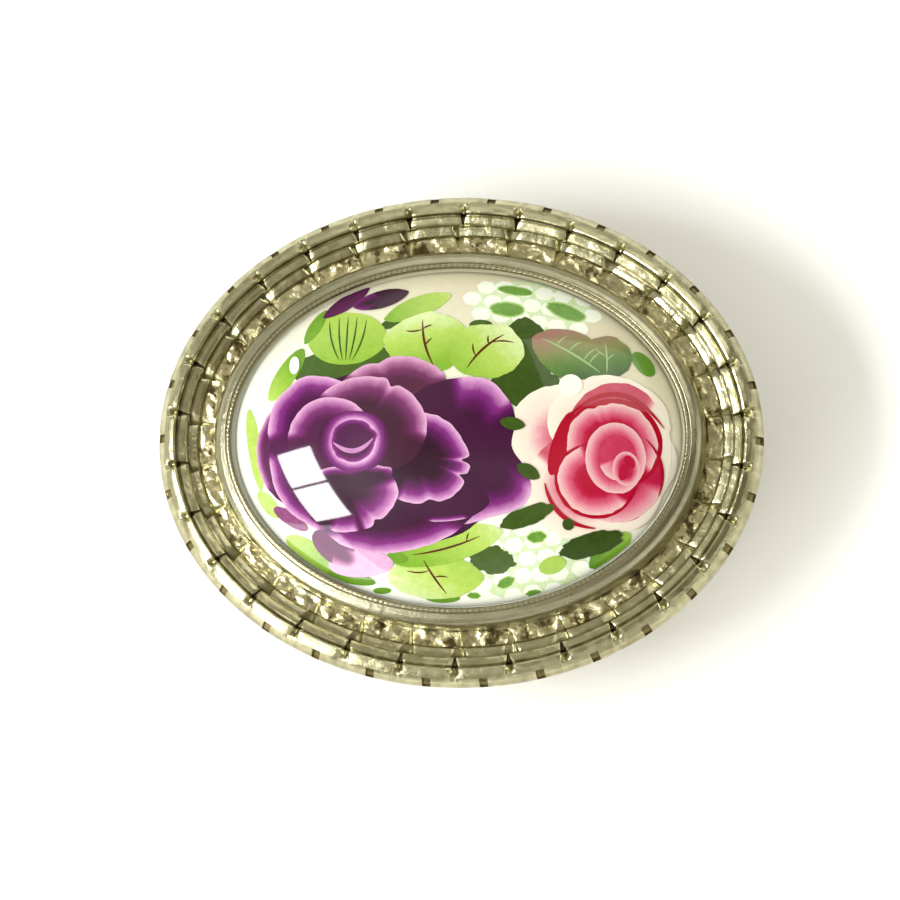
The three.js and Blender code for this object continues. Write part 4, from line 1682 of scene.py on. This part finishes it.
@dataclass
class Cabochon:
    """The domed clay cabochon: its core, its cream ground and the slices of its pattern."""

    finishes: Finishes
    dome: Dome = field(default_factory=Dome)
    foot_z: float = 13.2
    shell_thickness: float = 0.9

    def rings(self, shares: np.ndarray, heights: np.ndarray, columns: int) -> np.ndarray:
        """Ovals in the dome's proportion, one for each share of its size and height.

        Args:
            shares: the size of each ring.
            heights: the height of each ring.
            columns: points round a ring.

        Returns:
            The grid of points.
        """
        turn = np.linspace(0, 2 * np.pi, columns, endpoint=False)
        outline = np.stack([self.dome.half_length * np.cos(turn), self.dome.half_width * np.sin(turn)], 1)
        plan = shares[:, None, None] * outline[None]
        return np.concatenate([plan, np.broadcast_to(heights[:, None, None], (*plan.shape[:2], 1))], -1)

    def arch(self, shares: np.ndarray) -> np.ndarray:
        """The dome's height at each share of the way out."""
        return self.dome.edge_z + self.dome.height * (1 - np.minimum(shares, 1) ** 2) ** self.dome.fullness

    def ground(self) -> Shell:
        """The whole dome from crown to rim, a short shoulder, and an underside below it.

        Returns:
            The shell, its tone growing towards the upper right.
        """
        top = np.concatenate([np.linspace(0.01, 0.9, 60), np.linspace(0.91, 1.0, 24)])
        under = np.linspace(0.98, 0.01, 20)
        shares = np.concatenate([top, [1.02, 1.02], under])
        heights = np.concatenate([self.arch(top), [14.52, 13.9], self.arch(under) - self.shell_thickness])
        grid = self.rings(shares, heights, 240)
        tone = smoothstep(-8, 16, 0.45 * grid[..., 0] + grid[..., 1])
        return Shell.from_grid(grid, wrap_columns=True, numbers={"tone": tone})

    def core(self) -> Shell:
        """The blank under the ground, an oval block with a domed top.

        Returns:
            The shell.
        """
        top = np.linspace(0.02, 1.0, 24)
        shares = np.concatenate([top, [1.0, 0.9, 0.02]])
        heights = np.concatenate([self.arch(top) - self.shell_thickness - 0.3, [self.foot_z] * 3])
        return Shell.from_grid(self.rings(shares, heights, 160), wrap_columns=True)

    def greens(self) -> tuple[LobedOval, ...]:
        """The green cells among the blossom, long above and six-sided below, paler at the edge.

        Returns:
            One oval for each cell.
        """
        cells = (
            ((4.9, 12.8), (1.6, 0.5), -8, 0), ((4.3, 11.0), (1.6, 0.8), -4, 0),
            ((9.4, 10.9), (1.9, 0.8), -20, 0), ((7.2, -8.9), (0.9, 0.55), 8, 6),
            ((4.5, -12.7), (0.85, 0.5), 25, 6), ((6.8, -13.5), (0.7, 0.3), 10, 6),
            ((1.7, -13.8), (0.6, 0.3), 0, 6),
        )
        return tuple(
            LobedOval(
                centre, half, turn, (Window(0, 360, 0.35 * half[1]),), deep=0.92, pale=0.45,
                corners=corners, ruffle=0.05,
            )
            for centre, half, turn, corners in cells
        )

    def layers(self) -> tuple[Layer, ...]:
        """Every piece of the pattern, with the CAD slices that it stands for.

        Returns:
            The layers. Those that overlap have levels of their own.
        """
        f, leaf, green, dark = self.finishes, Foliage(), Slot.LEAF, Slot.DARK_LEAF
        top_bed = BlossomBed((6.4, 11.3), (5.3, 2.4), -8)
        low_bed = BlossomBed((6.4, -10.8), (5.2, 3.3), 10)
        cells = top_bed.cells() + low_bed.cells()
        whites = (
            LobedOval((10.0, 4.2), (1.0, 0.95), deep=0.1),
            LobedOval((-14.2, 6.1), (0.45, 0.8), deep=0.0),
        )
        small = ("left_leaf_slice", "corner_leaf_slice")
        return (
            Layer(
                "blossom_top_bed", (top_bed.ground(),), 2, 0, Slot.BLOSSOM, f.blossom,
                ("top_blossom_slice",),
            ),
            Layer(
                "blossom_low_bed", (low_bed.ground(),), 2, 0, Slot.BLOSSOM, f.blossom,
                ("bottom_blossom_slice",),
            ),
            Layer("blossom_cells", cells, 3, 0, Slot.BLOSSOM, f.blossom),
            Layer("blossom_greens", self.greens(), 4, 0, Slot.BLOSSOM, f.blossom),
            Layer("shades", leaf.shades(), 5, 1, dark, f.shade),
            Layer("small_leaves", leaf.leaves(), 6, 1, green, f.leaf, small),
            Layer("leaf_top", leaf.top(), 15, 1, green, f.leaf, ("top_leaf_slice",)),
            Layer("leaf_top_veins", leaf.top_veins(), 17, 0, dark, f.vein),
            Layer("bud", leaf.bud(), 12, 1, green, f.leaf, ("bud_slice",)),
            Layer("bud_ribs", leaf.bud_ribs(), 15, 0, dark, f.shade),
            Layer("bud_petals", leaf.bud_petals(), 18, 1, Slot.PURPLE, f.purple),
            Layer("leaf_right", leaf.right(), 15, 1, dark, f.dark_leaf, ("right_leaf_slice",)),
            Layer("leaf_right_veins", leaf.right_veins(), 17, 0, green, f.pale_vein),
            Layer("white_spots", whites, 36, 0, Slot.BLOSSOM, f.blossom),
            Layer("leaf_bottom", leaf.bottom(), 15, 1, green, f.leaf, ("bottom_leaf_slice",)),
            Layer("leaf_bottom_veins", leaf.bottom_veins(), 18, 0, dark, f.vein),
            Layer("shade_leaves", leaf.overlaps(), 36, 0, dark, f.shade),
            Layer("rose_pink", PinkRose().petals(), 17, 1, Slot.PINK, f.pink, ("pink_rose_slice",)),
            Layer(
                "rose_purple", PurpleRose().petals(), 17, 1, Slot.PURPLE, f.purple,
                ("purple_rose_slice",),
            ),
        )

    def build(self) -> None:
        """Makes the core, the ground and every layer of the pattern."""
        f, pattern = self.finishes, Pattern(self.dome)
        make_piece("cabochon_blank", self.core(), Body.LID, f.blank, ("cabochon_core",))
        make_piece("cream_dome", self.ground(), Body.LID, f.cream, ("clay_ground",))
        for layer in self.layers():
            shell = pattern.sheets(layer.shapes, layer.level, layer.step)
            make_piece(layer.name, shell, Body.LID, layer.material, layer.replaces, 60.0)


# ---- base --------------------------------------------------------------------------------------


@dataclass
class Base:
    """The base: a wall of three courses of cast blocks, its floor, the collar and the tray."""

    oval: Oval
    finishes: Finishes
    wall_inset: float = 2.75
    wall_inner: float = 4.05
    seam_z: float = 10.5
    courses: int = 3
    blocks: int = 30
    joint_depth: float = 0.22
    course_joint: float = 0.16
    block_joint: float = 0.15
    plain_end: float = 0.4         # no joint between courses this close to the top or bottom

    def wall(self) -> Shell:
        """The wall. Its outside is sunk by a rounded joint between courses and, staggered by half
        a block from course to course, between blocks. Each block stands out a little more or
        less than the next.

        Returns:
            The wall.
        """
        columns, rows = 16 * self.blocks, 58
        u = np.arange(columns)[None, :] / columns
        z = np.linspace(0.0, self.seam_z, rows)[:, None] + 0 * u
        height = self.seam_z / self.courses
        course = np.minimum(np.floor(z / height), self.courses - 1)
        level = np.abs(z / height - np.round(z / height)) * height
        at_end = (z < self.plain_end) | (z > self.seam_z - self.plain_end)
        level = np.where(at_end, self.seam_z, level)
        along = u * self.blocks + 0.5 * np.mod(course, 2)
        across = np.abs(along - np.round(along)) * self.oval.perimeter / self.blocks
        between_courses = np.exp(-((level / self.course_joint) ** 2))
        between_blocks = 0.9 * np.exp(-((across / self.block_joint) ** 2))
        gap = np.maximum(between_courses, between_blocks)
        plan = self.oval.place(u + 0 * z, self.wall_inset + 0 * z, z)
        x, y = plan[..., 0], plan[..., 1]
        cast = 0.05 * value_noise(u * 150 + 0 * z, z, 1.1, 51) + 0.03 * value_noise(x * 2 + y, z, 0.4, 52)
        uneven = 0.08 * (lattice(np.floor(along), course, 53) - 0.5)
        edge = 0.25 * (smoothstep(0.3, 0.0, z) + 0.4 * smoothstep(self.seam_z - 0.2, self.seam_z, z))
        inset = self.wall_inset + 0.06 + gap * self.joint_depth + np.abs(cast) - uneven + edge
        inside = [
            (self.wall_inner - 0.1, self.seam_z), (self.wall_inner, self.seam_z - 0.1),
            (self.wall_inner, 0.1), (self.wall_inner - 0.1, 0.0),
        ]
        inner = np.array([self.oval.place(u[0], i, h) for i, h in inside])
        cavity = np.concatenate([np.clip(gap + 0.3 * cast, 0, 1), np.zeros((len(inside), columns))])
        grid = np.concatenate([self.oval.place(u, inset, z), inner])
        return Shell.from_grid(grid, wrap_rows=True, wrap_columns=True, numbers={"cavity": cavity})

    def tray(self) -> Shell:
        """The moulded insert: a rounded wall, a floor, and a divider across and one along.

        Returns:
            The insert.
        """
        wall = ring(self.oval, rounded([(5.25, 1.3), (5.25, 8.0), (6.05, 8.0), (6.05, 1.3)], 0.25, 5))
        floor = plate(self.oval, 5.6, 1.3, 2.2)
        long_wall = bar((0.0, 20.6), (-0.4, 0.4), (1.8, 7.6), 0.25)
        across = bar((-15.7, 15.7), (-0.4, 0.4), (1.8, 7.6), 0.25)
        across.points = across.points[:, [1, 0, 2]]
        return Shell.joined([wall, floor, long_wall, across.outward()])

    def build(self) -> None:
        """Makes the pieces of the base."""
        f = self.finishes
        make_piece("base_courses", self.wall(), Body.BASE, f.cast, ("base_wall",))
        floor = plate(self.oval, 4.35, 0.0, 1.0)
        make_piece("base_bottom", floor, Body.BASE, f.cast, ("base_floor",))
        collar = ring(self.oval, rounded([(4.35, 7.4), (4.35, 11.7), (4.95, 11.7), (4.95, 7.4)], 0.2, 5))
        make_piece("collar_ring", collar, Body.BASE, f.cast, ("base_collar",))
        make_piece("tray", self.tray(), Body.BASE, f.plastic, ("pill_tray",))


@dataclass
class Fittings:
    """The hinge, the snap catch and the mirror."""

    oval: Oval
    finishes: Finishes
    axis: Point = (20.0, 10.0)
    knuckle: float = 0.9
    bore: float = 0.6
    pin: float = 0.45
    leaf_half: float = 6.0
    middle_half: float = 2.2
    gap: float = 0.3

    def tube(self, x0: float, x1: float) -> Shell:
        """A bored knuckle.

        Args:
            x0: where it starts along X.
            x1: where it ends.

        Returns:
            The knuckle.
        """
        profile = rounded([(x0, self.bore), (x0, self.knuckle), (x1, self.knuckle), (x1, self.bore)], 0.1)
        return turned_along_x(profile, self.axis, closed=True)

    def hinge(self) -> None:
        """Makes both leaves and the pin."""
        f = self.finishes
        inner = self.middle_half + self.gap
        plate_profile = rounded([(2.05, 5.4), (2.05, 8.8), (2.45, 8.8), (2.45, 5.4)], 0.1)
        web_profile = rounded([(1.55, 8.7), (1.2, 9.3), (2.2, 9.6), (2.45, 8.7)], 0.08)
        base = [strip(self.oval, plate_profile, (-self.leaf_half, self.leaf_half), False)]
        for x0, x1 in ((-self.leaf_half, -inner), (inner, self.leaf_half)):
            base.append(strip(self.oval, web_profile, (x0, x1), False))
            base.append(self.tube(x0, x1))
        low = Shell.joined(base)
        make_piece("hinge_leaf_low", low, Body.BASE, f.cast, ("hinge_leaf_base",))
        lid_profile = rounded([(0.9, 11.6), (0.9, 12.1), (2.45, 12.1), (2.45, 11.6)], 0.1)
        lid = [
            strip(self.oval, lid_profile, (-self.leaf_half, self.leaf_half), False),
            bar((-self.middle_half, self.middle_half), (19.4, 20.3), (10.75, 11.8)),
            self.tube(-self.middle_half, self.middle_half),
        ]
        high = Shell.joined(lid)
        make_piece("hinge_leaf_high", high, Body.LID, f.cast, ("hinge_leaf_lid",))
        end = self.leaf_half + 0.2
        ends = [
            (-end, 0.05), (-end, 0.3), (-end + 0.1, self.pin),
            (end - 0.1, self.pin), (end, 0.3), (end, 0.05),
        ]
        rod = turned_along_x(np.array(ends), self.axis, closed=False)
        make_piece("hinge_rod", rod, Body.BASE, f.steel, ("hinge_pin",))

    def catch(self) -> None:
        """Makes the spring strip inside the collar and the tab that clicks past its nose."""
        spring = rounded([
            (5.25, 8.4), (5.25, 11.2), (5.6, 11.2), (5.6, 10.6), (5.9, 10.2), (5.6, 9.8), (5.6, 8.4),
        ], 0.1)
        tab = rounded([
            (6.45, 8.6), (6.1, 8.95), (6.45, 9.3), (6.45, 11.7), (6.9, 11.7), (6.9, 8.6),
        ], 0.1)
        brass = self.finishes.brass
        bent = strip(self.oval, spring, (-4.0, 4.0), True)
        nose = strip(self.oval, tab, (-3.4, 3.4), True)
        make_piece("catch_strip", bent, Body.BASE, brass, ("catch_spring",))
        make_piece("catch_nose", nose, Body.LID, brass, ("catch_tab",))

    def mirror(self) -> None:
        """Makes the glass, the rim that holds it and the pad behind it."""
        f = self.finishes
        rim = ring(self.oval, rounded([
            (7.5, 11.7), (7.5, 9.9), (7.8, 9.6), (8.8, 9.6), (8.8, 9.9), (7.9, 9.9), (7.9, 11.7),
        ], 0.12))
        make_piece("mirror_frame", rim, Body.LID, f.plastic, ("mirror_rim",))
        glass = plate(self.oval, 8.2, 10.2, 11.0)
        make_piece("mirror_plate", glass, Body.LID, f.mirror, ("mirror_glass",))
        pad = plate(self.oval, 9.2, 11.3, 11.7)
        make_piece("mirror_backing", pad, Body.LID, f.foam, ("mirror_pad",))

    def build(self) -> None:
        """Makes every fitting."""
        self.hinge()
        self.catch()
        self.mirror()


# ---- studio ------------------------------------------------------------------------------------


@dataclass
class Studio:
    """A pale floor, soft lights and the camera."""

    distance: float = 0.45
    field_width: float = 0.0783
    lean: Point = (0.10, -0.142)   # how far the camera stands off the vertical, per unit of height
    roll: float = 1.0
    offset: Point = (0.0008, 0.00084)
    aim_height: float = 0.0135
    surround: tuple[tuple[float, Colour], ...] = (
        (0.36, (0.05, 0.035, 0.015)), (0.46, (0.26, 0.22, 0.13)), (0.55, (0.46, 0.46, 0.38)),
        (0.64, (1.15, 1.12, 1.02)),
    )
    floor_half: float = 1.5
    window: Direction = (-0.60, -0.165, 0.78)
    window_up: Direction = (-0.35, 0.9, 0.0)
    pane: Point = (0.10, 0.105)
    pane_slide: float = 0.056      # how far each pane stands from the window's middle
    pane_power: float = 0.80

    def floor(self) -> None:
        """Lays a pale matte floor."""
        mesh = bpy.data.meshes.new("floor")
        s = self.floor_half
        mesh.from_pydata([(-s, -s, 0), (s, -s, 0), (s, s, 0), (-s, s, 0)], [], [(0, 1, 2, 3)])
        bench = NodeBench("floor_white")
        colour = bench.mix(bench.noise(3.0), (0.93, 0.93, 0.93), (0.95, 0.95, 0.95))
        mesh.materials.append(bench.finish(Base_Color=colour, Roughness=0.9, Specular_IOR_Level=0.1))
        floor = bpy.data.objects.new("floor", mesh)
        bpy.context.scene.collection.objects.link(floor)

    def light(
        self,
        name: str,
        direction: Direction,
        reach: float,
        size: Point,
        power: float,
        tint: Colour,
        up: Direction = (0.0, 1.0, 0.0),
        slide: float = 0.0,
        mirrored: bool = True,
    ) -> None:
        """Hangs an area light that faces the lid.

        Args:
            name: the light's name.
            direction: from the lid to the light.
            reach: distance to it, in metres.
            size: its width and height, in metres.
            power: in watts.
            tint: its colour.
            up: which way its own Y axis leans.
            slide: how far it is moved along that axis, in metres.
            mirrored: whether shiny surfaces show it.
        """
        lamp = bpy.data.lights.new(name, "AREA")
        lamp.shape = "RECTANGLE"
        lamp.size, lamp.size_y = size
        lamp.energy = power
        lamp.color = tint
        item = bpy.data.objects.new(name, lamp)
        back = Vector(direction).normalized()
        right = Vector(up).cross(back).normalized()
        over = back.cross(right)
        centre = back * reach + over * slide + Vector((0, 0, self.aim_height))
        item.matrix_world = Matrix.Translation(centre) @ Matrix((right, over, back)).transposed().to_4x4()
        item.visible_glossy = mirrored
        bpy.context.scene.collection.objects.link(item)

    def lights(self) -> None:
        """Hangs a window in two panes, a broad key, a fill and a light above, and sets a dim
        surround."""
        for name, slide in (("window_high", self.pane_slide), ("window_low", -self.pane_slide)):
            self.light(name, self.window, 0.5, self.pane, self.pane_power, (1, 1, 1), self.window_up, slide)
        self.light("key", (-0.75, -0.75, 0.55), 0.7, (0.45, 0.35), 2.2, (1.0, 0.98, 0.95))
        self.light("fill", (0.5, 0.6, 0.9), 0.9, (0.5, 0.4), 0.8, (1.0, 0.97, 0.9))
        self.light("top", (0.0, 0.1, 1.0), 1.2, (3.0, 3.0), 15.0, (1.0, 1.0, 0.98), mirrored=False)
        world = bpy.data.worlds.new("studio")
        world.use_nodes = True
        nodes, links = world.node_tree.nodes, world.node_tree.links
        heading = nodes.new("ShaderNodeTexCoord")
        cloud = nodes.new("ShaderNodeTexNoise")
        cloud.inputs["Scale"].default_value = 1.9
        cloud.inputs["Detail"].default_value = 1.5
        shades = nodes.new("ShaderNodeValToRGB")
        elements = shades.color_ramp.elements
        while len(elements) < len(self.surround):
            elements.new(0.5)
        for element, (at, colour) in zip(elements, self.surround):
            element.position = at
            element.color = (*colour, 1)
        links.new(heading.outputs["Generated"], cloud.inputs["Vector"])
        links.new(cloud.outputs[0], shades.inputs[0])
        links.new(shades.outputs[0], nodes["Background"].inputs["Color"])
        bpy.context.scene.world = world

    def camera(self) -> None:
        """Stands the camera almost above the lid, the image's top towards the hinge."""
        data = bpy.data.cameras.new("camera")
        data.sensor_width = 36.0
        data.lens = data.sensor_width * self.distance / self.field_width
        data.clip_start, data.clip_end = 0.01, 10.0
        back = Vector((self.lean[0], self.lean[1], 1.0)).normalized()
        roll = math.radians(self.roll)
        up_hint = Vector((-math.sin(roll), math.cos(roll), 0.0))
        right = up_hint.cross(back).normalized()
        up = back.cross(right)
        aim = Vector((0, 0, self.aim_height)) - right * self.offset[0] - up * self.offset[1]
        item = bpy.data.objects.new("camera", data)
        turn = Matrix((right, up, back)).transposed()
        item.matrix_world = Matrix.Translation(aim + back * self.distance) @ turn.to_4x4()
        bpy.context.scene.collection.objects.link(item)
        bpy.context.scene.camera = item

    def build(self) -> None:
        """Sets the stage."""
        self.floor()
        self.lights()
        self.camera()
        bpy.context.scene.view_settings.view_transform = "Standard"


def lid_oval() -> Oval:
    """The lid's outline, from the CAD lid's own box."""
    low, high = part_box("lid_frame")
    return Oval((high.x - low.x) / 2 / MM, (high.y - low.y) / 2 / MM)


def main() -> None:
    """Builds the box, then its stage."""
    logging.basicConfig(level=logging.INFO, format="%(name)s: %(message)s")
    oval = lid_oval()
    finishes = Finishes()
    Studio().build()
    LidBorder(oval, finishes).build()
    Bezel(oval, finishes).build()
    Cabochon(finishes).build()
    Base(oval, finishes).build()
    Fittings(oval, finishes).build()


if __name__ == "__main__":
    main()
